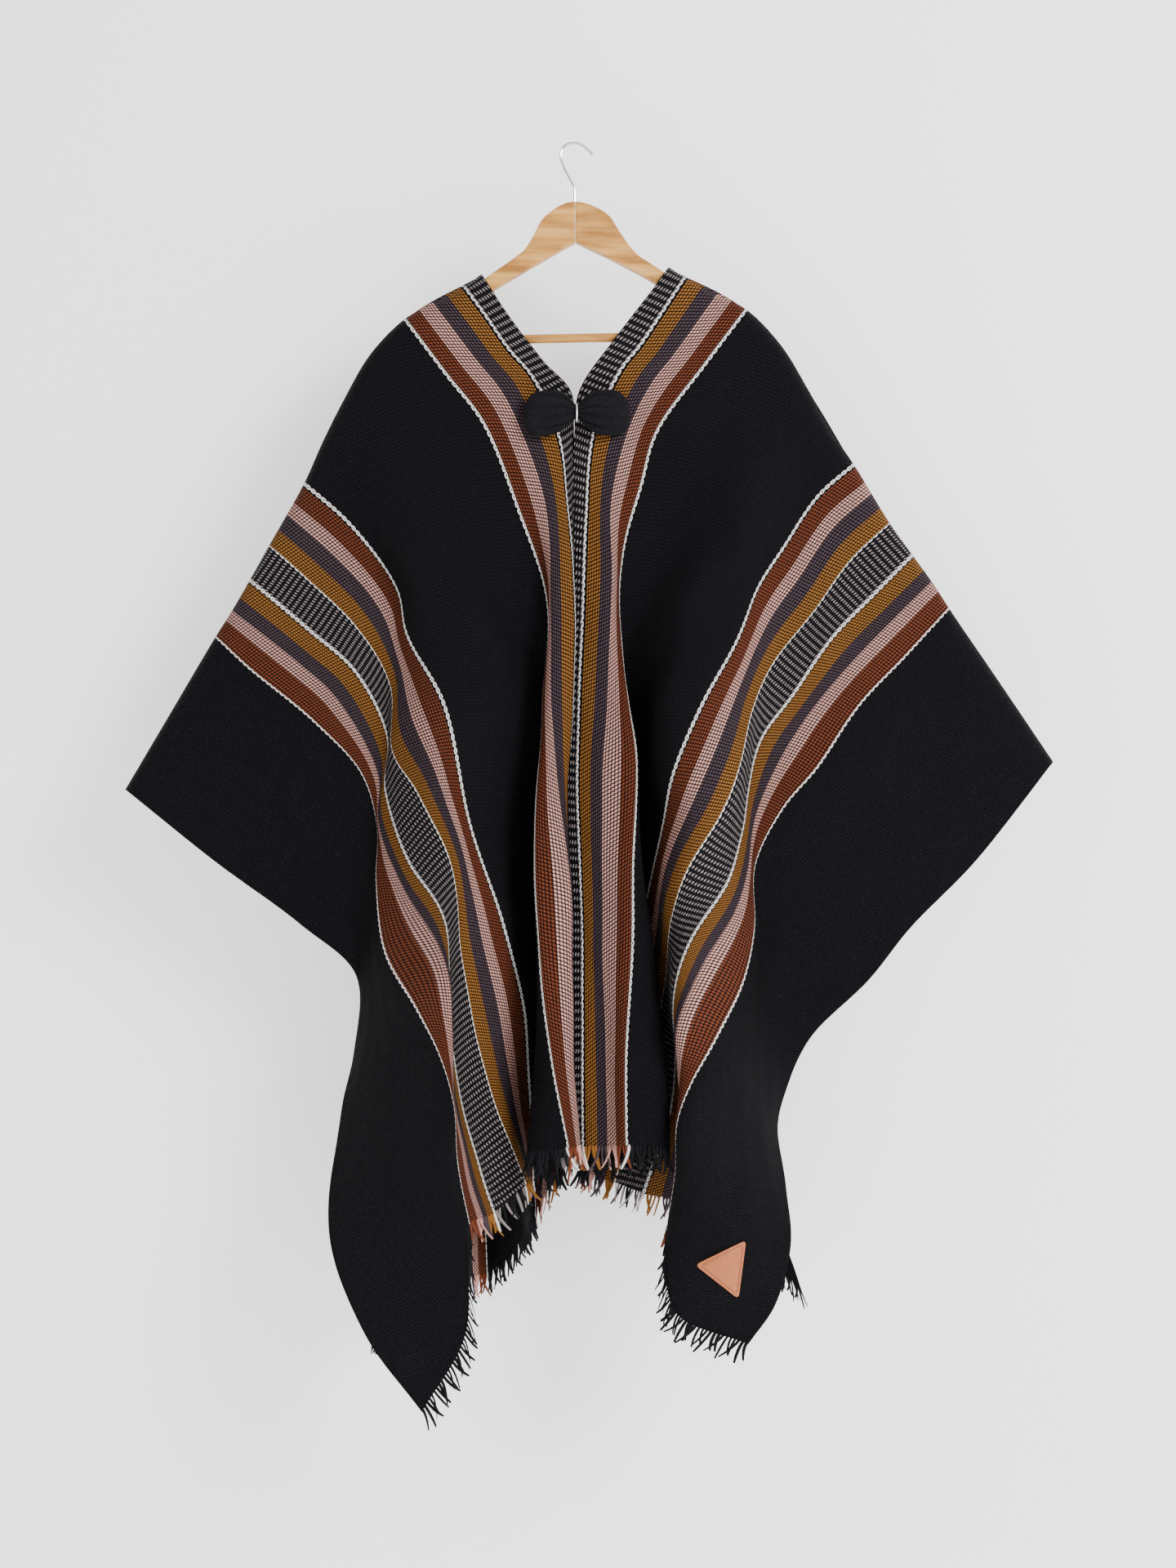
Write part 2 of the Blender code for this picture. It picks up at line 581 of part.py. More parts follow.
def shortfall(tree, eye, point):
    """How much nearer to the cloth a point lies than it should, from the front."""
    line = point - eye
    distance = tree.find_nearest(point)[3]
    hit = tree.ray_cast(eye, line.normalized())[3]
    if hit is not None and hit < line.length:
        distance = -distance
    return (WALL / 2 + PATCH_THICKNESS / 2 + PATCH_LIFT) * MM - distance


def lift_faces(shape, tree, eye):
    """Move faces towards the eye where they lie too near the cloth."""
    for face in shape.faces:
        corners = [vert.co.copy() for vert in face.verts]
        samples = [sum(corners, Vector()) / 3]
        samples += [(corners[side] + corners[side - 1]) / 2 for side in range(3)]
        short = max(shortfall(tree, eye, sample) for sample in corners + samples)
        if short > 0:
            for vert in face.verts:
                vert.co -= (vert.co - eye).normalized() * short * 0.4


def make_patch(panel_rows, material, collection):
    """Leather triangle with round corners that lies on the right panel."""
    sheet = grid_sheet(panel_rows)
    tree = BVHTree.FromBMesh(sheet)
    sheet.free()
    eye = Vector((VIEW_ACROSS, -VIEW_DISTANCE, -VIEW_DOWN)) * MM

    shape = bmesh.new()
    rows = []
    corners = [Vector(corner) for corner in PATCH_CORNERS]
    middle = sum(corners, Vector((0, 0))) / 3
    for down in range(PATCH_SIDE_STEPS + 1):
        row = []
        for step in range(PATCH_SIDE_STEPS - down + 1):
            weight_b = down / PATCH_SIDE_STEPS
            weight_c = step / PATCH_SIDE_STEPS
            weight_a = 1 - weight_b - weight_c
            flat = corners[0] * weight_a + corners[1] * weight_b + corners[2] * weight_c
            if max(weight_a, weight_b, weight_c) > 0.99:
                flat = flat.lerp(middle, PATCH_ROUND)
            aim = (seen_point(flat.x, flat.y, 0) - eye).normalized()
            row.append(shape.verts.new(tree.ray_cast(eye, aim)[0]))
        rows.append(row)
    for upper, lower in zip(rows, rows[1:]):
        for index in range(len(lower)):
            shape.faces.new((upper[index], upper[index + 1], lower[index]))
            if index < len(lower) - 1:
                shape.faces.new((upper[index + 1], lower[index + 1], lower[index]))
    for _ in range(PATCH_PASSES):
        lift_faces(shape, tree, eye)
    patch = new_object("leather_patch", finish_mesh("leather_patch", shape), material,
                       collection)
    wall = patch.modifiers.new("wall", "SOLIDIFY")
    wall.thickness = PATCH_THICKNESS * MM
    wall.offset = 0.0
    return patch


def main():
    """Build every piece."""
    for thing in list(bpy.data.objects):
        bpy.data.objects.remove(thing, do_unlink=True)
    collection = bpy.data.collections.new("poncho_on_hanger")
    cutting = bpy.data.collections.new("cutters")
    for holder in (collection, cutting):
        bpy.context.scene.collection.children.link(holder)
    wool, leather, wood, chrome = [make_material(name) for name in COLOURS]

    hole = bar_between("bar_hole", BAR_RADIUS + GAP, GAP, 20)
    hole.hide_render = True
    hole.display_type = "WIRE"
    move_to(hole, cutting)
    cutters = {"bar_hole": hole}

    for side, front, back in (("left", LEFT_FRONT, LEFT_BACK),
                              ("right", RIGHT_FRONT, RIGHT_BACK)):
        rows = panel_grid(front, back)
        make_panel(side + "_panel", rows, wool, collection)
        make_fringe(side + "_front_fringe", rows, wool, collection)
        make_fringe(side + "_back_fringe", list(reversed(rows)), wool, collection)
        if side == "right":
            make_patch(rows, leather, collection)

    make_arm("hanger_left_half", LEFT_ARM, wood, collection, cutters)
    make_arm("hanger_right_half", RIGHT_ARM, wood, collection, cutters)
    make_bar(wood, collection)
    make_hook(chrome, collection)
    make_lobe("bow_left_lobe", -1, wool, collection)
    make_lobe("bow_right_lobe", 1, wool, collection)
    make_link(chrome, collection)


main()
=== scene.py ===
"""Striped open-front wool poncho hanging on its wooden hanger, dressed for a render.

Metres, +Z up. The origin is the inner top of the hanger's hook, the front faces -Y.
The tables are in millimetres, as seen from a viewer in front: across, down and out.
"""
import math

import bmesh
import bpy
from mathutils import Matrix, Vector
from mathutils.bvhtree import BVHTree


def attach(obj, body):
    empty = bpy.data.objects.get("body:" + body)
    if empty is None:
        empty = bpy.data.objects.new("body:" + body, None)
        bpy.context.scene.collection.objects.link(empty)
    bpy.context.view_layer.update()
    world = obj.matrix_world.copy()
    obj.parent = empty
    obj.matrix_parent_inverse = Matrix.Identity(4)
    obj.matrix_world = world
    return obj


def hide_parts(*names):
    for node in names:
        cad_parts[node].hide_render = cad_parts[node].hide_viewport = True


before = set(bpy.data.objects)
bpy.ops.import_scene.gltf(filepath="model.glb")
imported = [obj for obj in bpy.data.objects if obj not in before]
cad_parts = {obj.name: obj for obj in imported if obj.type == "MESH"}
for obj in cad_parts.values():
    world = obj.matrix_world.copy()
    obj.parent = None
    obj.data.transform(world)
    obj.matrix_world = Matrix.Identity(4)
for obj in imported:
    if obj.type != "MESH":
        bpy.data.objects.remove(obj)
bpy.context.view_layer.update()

MM = 0.001

# Cloth, hanger and view, in millimetres.
HALF_LENGTH = 1060
WALL = 2.4
VIEW_DISTANCE = 2400
VIEW_ACROSS = 15
VIEW_DOWN = 744
SHOULDER_SIDE = 9
SHOULDER_DROP = 6
SEAM_TOP = 303
SEAM_HALF = 1.4
ARM_THICKNESS = 12
EDGE_ROUND = 1.5
PANEL_WIDTH = 755

# Fineness of the meshes and routes. The rows at the shoulder are closer together.
ARM_STEPS = 150
COLUMN_STEPS = 151
ROW_STEPS = 120
SHOULDER_ROWS = 8
SHOULDER_STEP = 0.0025
SPAN_STEPS = 24
AREA_STEPS = 60

# Weave in millimetres, with its shift and slants as shares of a pitch.
FLOAT_PITCH = 3.2
FLOAT_LENGTH = 4.65
FLOAT_SHIFT = 0.4
FLOAT_SLANT = 0.3
LINK_LENGTH = 9.3
LINK_HALF = 2.6
DASH_PITCH = 4.0
DASH_SLANT = 0.5

# Columns of a thread: name, distance from the inner edge, way points (across, down, out).
LEFT_FRONT = (
    ("edge", 0, ((-108, 152, 0), (-76, 201, 9), (-37, 252, 10), (-4, 289, 12), (-3, 345, 14),
                 (-6, 497, 28), (-13, 649, 40), (-23, 782, 50), (-30, 934, 58), (-30, 1067, 64),
                 (-23, 1165, 70))),
    ("white_1", 28, ((-128, 167, 0), (-103, 201, 9), (-76, 240, 10), (-50, 270, 11),
                     (-19, 339, 14), (-9, 421, 24), (-1, 530, 42), (-3, 649, 53), (-10, 782, 63),
                     (-16, 934, 71), (-14, 1067, 76), (-6, 1165, 80))),
    ("plum_1", 67, ((-163, 186, 0), (-113, 252, 10), (-84, 288, 12), (-60, 338, 14),
                    (-33, 421, 24), (-28, 530, 42), (-27, 649, 60), (-18, 760, 72),
                    (-6, 860, 80), (-3, 950, 84), (-2, 1067, 88), (6, 1165, 92))),
    ("white_2", 104, ((-197, 204, 0), (-149, 268, 10), (-106, 324, 12), (-67, 420, 16),
                      (-32, 530, 20), (-36, 649, 44), (-46, 801, 74), (-42, 937, 86),
                      (-26, 1068, 93), (-7, 1167, 98))),
    ("black_a", 165, ((-238, 246, 0), (-192, 311, 12), (-145, 389, 22), (-85, 540, 26),
                      (-22, 649, -4), (-26, 782, 14), (-34, 934, 28), (-47, 1067, 58),
                      (-55, 1172, 74))),
    ("black_b", 225, ((-268, 298, 0), (-235, 353, 18), (-209, 395, 30), (-170, 465, 50),
                      (-112, 540, 62), (-60, 649, 18), (-38, 782, -10), (-16, 934, -30),
                      (-24, 1067, 4), (-34, 1180, 20))),
    ("black_c", 285, ((-293, 348, 0), (-252, 395, 18), (-216, 455, 34), (-170, 540, 58),
                      (-108, 649, 62), (-86, 782, 36), (-46, 934, 2), (-16, 1067, -34),
                      (-14, 1190, -30))),
    ("white_3", 335, ((-314, 395, 0), (-259, 444, 14), (-206, 517, 22), (-196, 569, 40),
                      (-152, 651, 82), (-121, 801, 76), (-86, 900, 58), (-60, 1006, 26),
                      (-54, 1090, -12), (-50, 1199, -28))),
    ("white_4", 412, ((-354, 466, 0), (-308, 507, 12), (-254, 560, 18), (-213, 630, 22),
                      (-211, 704, 36), (-182, 754, 68), (-144, 835, 98), (-132, 943, 88),
                      (-116, 1030, 72), (-91, 1120, 46), (-56, 1209, 26))),
    ("white_5", 465, ((-377, 507, 0), (-308, 565, 12), (-254, 614, 16), (-218, 688, 20),
                      (-220, 752, 28), (-192, 833, 62), (-152, 899, 100), (-146, 1000, 90),
                      (-136, 1098, 74), (-114, 1185, 58), (-94, 1243, 50))),
    ("pink_2", 510, ((-399, 545, 0), (-322, 606, 12), (-279, 646, 14), (-229, 735, 18),
                     (-228, 790, 24), (-200, 866, 58), (-152, 950, 106), (-144, 1030, 108),
                     (-142, 1110, 92), (-126, 1190, 76), (-108, 1249, 70))),
    ("white_6", 545, ((-418, 575, 0), (-381, 610, 10), (-303, 674, 14), (-249, 732, 16),
                      (-230, 795, 18), (-231, 860, 24), (-222, 941, 52), (-184, 1008, 90),
                      (-158, 1060, 108), (-143, 1112, 112), (-138, 1181, 102),
                      (-124, 1257, 92))),
    ("black_d", 650, ((-470, 663, 0), (-352, 762, 9), (-256, 860, 12), (-243, 924, 20),
                      (-232, 1019, 50), (-224, 1114, 80), (-208, 1209, 98), (-182, 1292, 106),
                      (-127, 1382, 100))),
    ("selvedge", 755, ((-522, 751, 0), (-420, 833, 6), (-318, 908, 8), (-254, 967, 10),
                       (-257, 1056, 20), (-271, 1125, 40), (-286, 1237, 64), (-280, 1294, 76),
                       (-243, 1386, 86), (-178, 1474, 92))),
)

RIGHT_FRONT = (
    ("edge", 0, ((108, 144, 0), (90, 169, 8), (50, 221, 10), (4, 289, 11), (-1, 345, 10),
                 (-11, 430, 13), (-15, 530, 20), (-17, 649, 28), (-16, 782, 37),
                 (-13, 934, 45), (-12, 1067, 51), (-8, 1165, 57))),
    ("white_1", 28, ((127, 156, 0), (101, 196, 9), (75, 235, 10), (53, 263, 11), (22, 335, 13),
                     (13, 435, 20), (10, 530, 28), (5, 649, 38), (4, 776, 46), (7, 860, 52),
                     (9, 934, 55), (9, 1067, 62), (10, 1165, 67))),
    ("plum_1", 67, ((163, 176, 0), (112, 247, 10), (90, 275, 11), (64, 325, 13), (42, 410, 24),
                    (42, 497, 34), (40, 573, 44), (37, 649, 52), (31, 744, 60), (32, 934, 66),
                    (36, 1067, 70), (38, 1165, 74))),
    ("white_2", 104, ((198, 193, 0), (149, 258, 10), (94, 335, 13), (76, 397, 15),
                      (56, 466, 19), (50, 530, 24), (62, 649, 58), (71, 720, 72), (67, 839, 80),
                      (66, 937, 86), (59, 1067, 92), (60, 1164, 96))),
    ("black_a", 165, ((239, 235, 0), (197, 295, 10), (148, 363, 16), (115, 470, 18),
                      (66, 570, 6), (44, 649, 6), (67, 782, 34), (90, 934, 48),
                      (105, 1067, 74), (108, 1168, 82))),
    ("black_b", 225, ((270, 286, 0), (244, 333, 16), (201, 390, 30), (178, 466, 44),
                      (122, 545, 54), (82, 640, 20), (60, 715, -12), (42, 782, -22), (52, 934, 2),
                      (68, 1067, 20), (72, 1176, 18))),
    ("black_c", 285, ((298, 336, 0), (264, 378, 14), (226, 440, 30), (182, 520, 52),
                      (106, 645, 76), (80, 782, 8), (34, 934, -40), (26, 1067, -28),
                      (18, 1184, -20))),
    ("white_3", 335, ((323, 373, 0), (282, 409, 12), (241, 470, 20), (211, 517, 36),
                      (185, 582, 68), (147, 652, 90), (117, 725, 92), (101, 795, 50),
                      (72, 934, -20), (34, 1067, -56), (8, 1190, -56))),
    ("white_4", 412, ((364, 440, 0), (318, 484, 12), (277, 542, 18), (231, 600, 26),
                      (206, 654, 50), (191, 716, 80), (166, 781, 98), (130, 842, 104),
                      (113, 895, 84), (106, 955, 34), (86, 1075, -26), (46, 1206, -44))),
    ("white_5", 465, ((391, 478, 0), (346, 524, 12), (297, 575, 16), (252, 641, 18),
                      (216, 690, 22), (200, 750, 28), (194, 801, 40), (177, 857, 72),
                      (135, 924, 102), (116, 985, 96), (118, 1055, 40), (112, 1120, 18),
                      (80, 1220, -2))),
    ("pink_2", 510, ((415, 511, 0), (315, 613, 14), (262, 680, 14), (212, 776, 20),
                     (200, 845, 36), (186, 892, 66), (150, 953, 100), (121, 1022, 112),
                     (120, 1080, 88), (126, 1140, 60), (116, 1230, 38))),
    ("white_6", 545, ((435, 542, 0), (384, 598, 10), (333, 652, 14), (283, 726, 14),
                      (242, 774, 16), (209, 840, 20), (208, 912, 28), (196, 978, 52),
                      (164, 1043, 90), (136, 1093, 108), (120, 1140, 112), (118, 1200, 96),
                      (107, 1266, 84))),
    ("black_d", 650, ((495, 630, 0), (409, 723, 9), (339, 819, 10), (272, 905, 12),
                      (229, 981, 20), (216, 1057, 42), (202, 1133, 70), (188, 1209, 90),
                      (162, 1292, 102), (116, 1357, 100))),
    ("selvedge", 755, ((555, 719, 0), (466, 833, 6), (391, 910, 8), (341, 972, 8),
                       (274, 1038, 10), (244, 1100, 14), (235, 1141, 24), (245, 1210, 44),
                       (250, 1278, 66), (233, 1348, 80), (201, 1395, 86))),
)

LEFT_BACK = (
    ("edge", 0, ((-108, 152, 0), (-76, 201, -9), (-37, 252, -11), (-8, 290, -13), (-1, 308, -15),
                 (-0.6, 400, -24), (-0.6, 520, -32), (-0.6, 860, -52), (-0.6, 1165, -62))),
    ("white_2", 104, ((-197, 204, 0), (-149, 272, -11), (-112, 350, -22), (-84, 520, -60),
                      (-60, 860, -100), (-46, 1240, -106))),
    ("black_b", 225, ((-268, 298, 0), (-225, 368, -18), (-192, 470, -32), (-156, 620, -40),
                      (-104, 900, -44), (-62, 1272, -58))),
    ("white_3", 335, ((-314, 395, 0), (-259, 448, -14), (-216, 530, -34), (-186, 660, -76),
                      (-150, 900, -108), (-112, 1110, -112), (-102, 1312, -98))),
    ("gold_2", 440, ((-366, 488, 0), (-296, 548, -12), (-236, 640, -20), (-212, 760, -36),
                     (-184, 940, -50), (-160, 1120, -52), (-150, 1318, -48))),
    ("white_6", 545, ((-418, 575, 0), (-303, 674, -12), (-240, 755, -18), (-226, 860, -56),
                      (-208, 1000, -98), (-196, 1150, -108), (-190, 1326, -96))),
    ("black_d", 650, ((-470, 663, 0), (-352, 760, -8), (-254, 855, -12), (-240, 950, -26),
                      (-234, 1060, -44), (-230, 1200, -50), (-222, 1372, -40))),
    ("selvedge", 755, ((-521, 750, 0), (-418, 829, -6), (-318, 902, -7), (-254, 960, -10),
                       (-246, 1050, -14), (-252, 1150, -22), (-262, 1260, -34),
                       (-236, 1384, -50))),
)

RIGHT_BACK = (
    ("edge", 0, ((108, 144, 0), (76, 192, -9), (37, 246, -11), (8, 287, -13), (1, 308, -15),
                 (0.6, 400, -24), (0.6, 520, -32), (0.6, 860, -52), (0.6, 1165, -62))),
    ("white_2", 104, ((198, 193, 0), (149, 264, -11), (114, 350, -22), (88, 520, -60),
                      (66, 860, -100), (48, 1176, -110))),
    ("black_b", 225, ((270, 286, 0), (229, 360, -18), (196, 470, -32), (160, 620, -40),
                      (122, 900, -46), (92, 1196, -52))),
    ("white_3", 335, ((323, 373, 0), (265, 428, -14), (226, 530, -30), (200, 660, -76),
                      (172, 900, -112), (136, 1215, -112))),
    ("gold_2", 440, ((378, 460, 0), (312, 540, -12), (248, 640, -18), (222, 760, -36),
                     (200, 940, -50), (170, 1240, -56))),
    ("white_6", 545, ((435, 542, 0), (333, 650, -12), (262, 745, -18), (236, 860, -56),
                      (216, 1000, -96), (198, 1256, -104))),
    ("black_d", 650, ((495, 630, 0), (406, 722, -8), (300, 862, -12), (246, 980, -26),
                      (226, 1100, -44), (222, 1290, -56))),
    ("selvedge", 755, ((554, 718, 0), (462, 829, -6), (388, 904, -7), (300, 1002, -10),
                       (244, 1080, -14), (230, 1160, -24), (236, 1250, -36), (262, 1330, -50))),
)

# Bands of the cloth from its inner edge: start, colour, kind (white, field or dotted).
BANDS = (
    (0, "black", "dotted"), (25, "white", "white"), (30, "mustard", "field"),
    (49, "plum", "field"), (67, "pink", "field"), (83, "rust", "field"),
    (102, "white", "white"), (107, "black", "field"), (333, "white", "white"),
    (338, "rust", "field"), (357, "pink", "field"), (373, "plum", "field"),
    (391, "mustard", "field"), (410, "white", "white"), (415, "black", "dotted"),
    (463, "white", "white"), (468, "mustard", "field"), (487, "plum", "field"),
    (505, "pink", "field"), (521, "rust", "field"), (540, "white", "white"),
    (545, "black", "field"),
)
# Longer tassel in the left front hem: its stretch of the hem and its length.
TASSEL = (101, 108)
TASSEL_LENGTH = 36
# Other strands: least length, the most that is added, and cross-sections along one.
STRAND_LENGTH = 17
STRAND_EXTRA = 8
STRAND_STEPS = 5
# Middles of the white bands.
WHITE_LINES = (27.5, 104.5, 335.5, 412.5, 465.5, 542.5)
YARNS = {
    "black": (0.0056, 0.0050, 0.0074),
    "white": (0.86, 0.83, 0.79),
    "mustard": (0.270, 0.108, 0.019),
    "plum": (0.060, 0.040, 0.050),
    "pink": (0.60, 0.315, 0.265),
    "rust": (0.150, 0.036, 0.014),
    "dash": (0.26, 0.222, 0.213),
    # Painted shade: near-black, darker than the black yarn, for the gaps between the floats and
    # the holes and joints of the white links.
    "shaded_gap": (0.0022, 0.0018, 0.0026),
}

# Hanger outlines, (across, down), the upper edge outwards and then the lower edge back.
LEFT_ARM = ((0.35, 68), (-11, 70), (-26, 78), (-39, 90), (-49, 109), (-59, 124), (-70, 133),
            (-84, 143), (-98, 152.6), (-112, 163.4), (-128, 174.4), (-162, 194.4), (-190, 211.4),
            (-202, 221), (-208, 229), (-207, 236), (-196, 240), (-180, 230), (-150, 210),
            (-95, 171), (-40, 138), (0.35, 115))
RIGHT_ARM = ((0.65, 68), (12, 70), (27, 76), (40, 85), (50, 100), (63, 119), (73, 130),
             (85, 138.2), (98, 146.6), (112, 156.4), (128, 166.4), (161, 184.4), (192, 201.4),
             (206, 211), (211, 219), (210, 227), (199, 231), (184, 222), (150, 202),
             (92, 162), (40, 134), (0.65, 115))

# Columns of a bow lobe: distance from the middle, half height, half depth.
LOBE_SECTIONS = ((1.5, 8, 4.5), (6, 13, 6.5), (13, 20, 9), (24, 25, 11), (38, 25.5, 11),
                 (49, 23, 9.5), (56, 17, 7), (60, 9, 4), (61.5, 3, 1.5))
# Middle of the bow as seen, its distance out, and the ring around the knot.
BOW_CENTRE = (2, 313)
BOW_OUT = 25.6
RING_HALF_HEIGHT = 10.5
RING_HALF_DEPTH = 6.4

# Corners of the patch as seen, and how far along the sides they are rounded.
PATCH_CORNERS = ((139, 1303), (199, 1274), (190, 1343))
PATCH_CORNER_REACH = 7
# Rings of the patch from its rim inwards: share of its size, height over the cloth.
PATCH_RINGS = ((1.0, 1.9), (1.0, 2.7), (0.975, 3.1), (0.93, 3.2), (0.865, 3.2), (0.85, 2.8),
               (0.83, 2.8), (0.815, 3.2), (0.6, 3.2), (0.35, 3.2), (0.12, 3.2))
PATCH_HEIGHT = 3.2
# Seam of the patch: share of its size, height of the thread, and pitch of the stitches.
SEAM_SHARE = 0.84
STITCH_HEIGHT = 3.0
STITCH_PITCH = 3.2
# Sections of a stitch: distance from its middle, half thickness.
STITCH_SECTIONS = ((-1.05, 0.25), (-0.6, 0.45), (0.6, 0.45), (1.05, 0.25))

# Stage and place of the viewer in metres, lens and sensor in millimetres.
STAGE_SIZE = 14
WALL_PLACE = (0, 0.16, -0.7)
FLOOR_PLACE = (0, 0, -1.75)
SKY_STRENGTH = 0.62
LENS = 47.4
SENSOR_WIDTH = 36
# Lights: name, place, target, size and power in watts.
LIGHTS = (("key_light", (1.9, -2.3, 0.5), (0, 0, -0.7), 1.2, 118),
          ("fill_light", (-1.4, -2.8, -0.5), (0, 0, -0.8), 2.2, 12))
EYE = Vector((VIEW_ACROSS, -VIEW_DISTANCE, -VIEW_DOWN)) * MM


def seen_point(across, down, out):
    """Place in metres of a point that the viewer sees at across and down."""
    nearness = (VIEW_DISTANCE - out) / VIEW_DISTANCE
    x = VIEW_ACROSS + (across - VIEW_ACROSS) * nearness
    z = -VIEW_DOWN - (down - VIEW_DOWN) * nearness
    return Vector((x, -out, z)) * MM


def slope_at(points, knots, index):
    """Slope of the curve at one point, from its neighbours."""
    before, after = max(index - 1, 0), min(index + 1, len(points) - 1)
    if before == index or after == index:
        return (points[after] - points[before]) / (knots[after] - knots[before])
    left, right = knots[index] - knots[before], knots[after] - knots[index]
    slope_left = (points[index] - points[before]) / left
    slope_right = (points[after] - points[index]) / right
    return (slope_left * right + slope_right * left) / (left + right)


def chord_knots(points):
    """Knots of a curve, spread by the square root of the chords."""
    knots = [0.0]
    for first, second in zip(points, points[1:]):
        knots.append(knots[-1] + (second - first).length ** 0.5)
    return knots


class Curve:
    """Smooth curve through points, with the slopes worked out once."""

    def __init__(self, points):
        self.points = points
        self.knots = chord_knots(points)
        self.slopes = [slope_at(points, self.knots, index) for index in range(len(points))]

    def at(self, index, share):
        """Point between two neighbours."""
        span = self.knots[index + 1] - self.knots[index]
        square, cube = share ** 2, share ** 3
        return (self.points[index] * (2 * cube - 3 * square + 1)
                + self.slopes[index] * (span * (cube - 2 * square + share))
                + self.points[index + 1] * (3 * square - 2 * cube)
                + self.slopes[index + 1] * (span * (cube - square)))


def smooth_route(points, steps):
    """Points on one smooth curve through the given points, evenly spread by length."""
    curve = Curve(points)
    dense = [curve.at(index, step / SPAN_STEPS) for index in range(len(points) - 1)
             for step in range(SPAN_STEPS)]
    dense.append(points[-1].copy())
    lengths = [0.0]
    for first, second in zip(dense, dense[1:]):
        lengths.append(lengths[-1] + (second - first).length)
    placed = []
    segment = 0
    for step in steps:
        wanted = step * lengths[-1]
        while segment < len(dense) - 2 and lengths[segment + 1] < wanted:
            segment += 1
        span = lengths[segment + 1] - lengths[segment]
        share = (wanted - lengths[segment]) / span
        placed.append(dense[segment].lerp(dense[segment + 1], min(max(share, 0), 1)))
    return placed


def hung_thread(ways, side):
    """Way points of one warp thread from the shoulder to a hem, over the arm's top."""
    top, following = ways[0], ways[1]
    share = SHOULDER_DROP / math.hypot(following[0] - top[0], following[1] - top[1])
    points = [seen_point(*top)]
    points.append(seen_point(top[0] + (following[0] - top[0]) * share,
                             top[1] + (following[1] - top[1]) * share, side * SHOULDER_SIDE))
    return points + [seen_point(*way) for way in ways[1:]]


def cloth_rows(threads, side, steps, columns):
    """Grid of points of half a panel: one row for each step, one point for each column."""
    places = [thread[1] for thread in threads]
    routes = [smooth_route(hung_thread(thread[2], side), steps) for thread in threads]
    spots = []
    index = 0
    for column in columns:
        while index < len(places) - 2 and places[index + 1] < column:
            index += 1
        spots.append((index, (column - places[index]) / (places[index + 1] - places[index])))
    rows = []
    for row in range(len(steps)):
        curve = Curve([route[row] for route in routes])
        rows.append([curve.at(index, share) for index, share in spots])
    return rows


def panel_rows(front, back):
    """Rows of one panel from the front hem to the back hem, with their place along the warp."""
    steps = [step * SHOULDER_STEP for step in range(SHOULDER_ROWS)]
    bent = steps[-1]
    steps += [bent + (1 - bent) * step / ROW_STEPS for step in range(1, ROW_STEPS + 1)]
    columns = [PANEL_WIDTH * step / (COLUMN_STEPS - 1) for step in range(COLUMN_STEPS)]
    front_rows = cloth_rows(front, 1, steps, columns)
    back_rows = cloth_rows(back, -1, steps, columns)
    side = math.copysign(1, front[-1][2][0][0])
    for row in back_rows:
        if row[0].z < -SEAM_TOP * MM:
            row[0].x = side * SEAM_HALF * MM
    rows = list(reversed(front_rows)) + back_rows[1:]
    places = [step * HALF_LENGTH for step in reversed(steps)]
    places += [-step * HALF_LENGTH for step in steps[1:]]
    return rows, places, columns


def cut_area(front, back):
    """Area in square metres that the model's own threads span, not a measured cut."""
    total = 0.0
    for side, threads in ((1, front), (-1, back)):
        lengths = []
        for thread in threads:
            line = smooth_route(hung_thread(thread[2], side),
                                [step / AREA_STEPS for step in range(AREA_STEPS + 1)])
            lengths.append(sum((after - point).length for point, after in zip(line, line[1:])))
        for index in range(len(threads) - 1):
            width = (threads[index + 1][1] - threads[index][1]) * MM
            total += width * (lengths[index] + lengths[index + 1]) / 2
    return total


def wrinkle(place, column):
    """Small unevenness of the hanging cloth in millimetres, none at the shoulder."""
    fade = min(abs(place) / 200, 1.0)
    slow = math.sin(place * 0.021 + column * 0.034) * math.sin(column * 0.019 - place * 0.008)
    quick = math.sin(place * 0.052 - column * 0.041 + 1.3) * math.sin(column * 0.063 + 0.4)
    return fade * (1.1 * slow + 0.5 * quick)


def roughened(rows, places, columns):
    """Rows moved along their normals by the small unevenness."""
    moved = []
    for index, row in enumerate(rows):
        above, below = rows[max(index - 1, 0)], rows[min(index + 1, len(rows) - 1)]
        line = []
        for step, point in enumerate(row):
            along = row[min(step + 1, len(row) - 1)] - row[max(step - 1, 0)]
            normal = along.cross(below[step] - above[step]).normalized()
            line.append(point + normal * wrinkle(places[index], columns[step]) * MM)
        moved.append(line)
    return moved


def mesh_object(name, points, faces, spots=None):
    """Object of points and faces, with a UV map in millimetres where spots are given."""
    mesh = bpy.data.meshes.new(name)
    mesh.from_pydata([tuple(point) for point in points], [], faces)
    if spots:
        layer = mesh.uv_layers.new(name="cloth")
        for loop in mesh.loops:
            layer.data[loop.index].uv = spots[loop.vertex_index]
    mesh.shade_smooth()
    thing = bpy.data.objects.new(name, mesh)
    bpy.context.scene.collection.objects.link(thing)
    return thing


def grid_faces(rows, columns, closed=False):
    """Quads between the points of a grid."""
    faces = []
    for row in range(rows - 1):
        for column in range(columns if closed else columns - 1):
            after = (column + 1) % columns
            faces.append((row * columns + column, row * columns + after,
                          (row + 1) * columns + after, (row + 1) * columns + column))
    return faces


def strand_faces(base, steps):
    """Faces of a strand with four sides and closed ends, from its first point on."""
    faces = [tuple(base + corner for corner in face)
             for face in grid_faces(steps, 4, closed=True)]
    last = base + 4 * (steps - 1)
    faces.append((last, last + 1, last + 2, last + 3))
    faces.append((base + 3, base + 2, base + 1, base))
    return faces


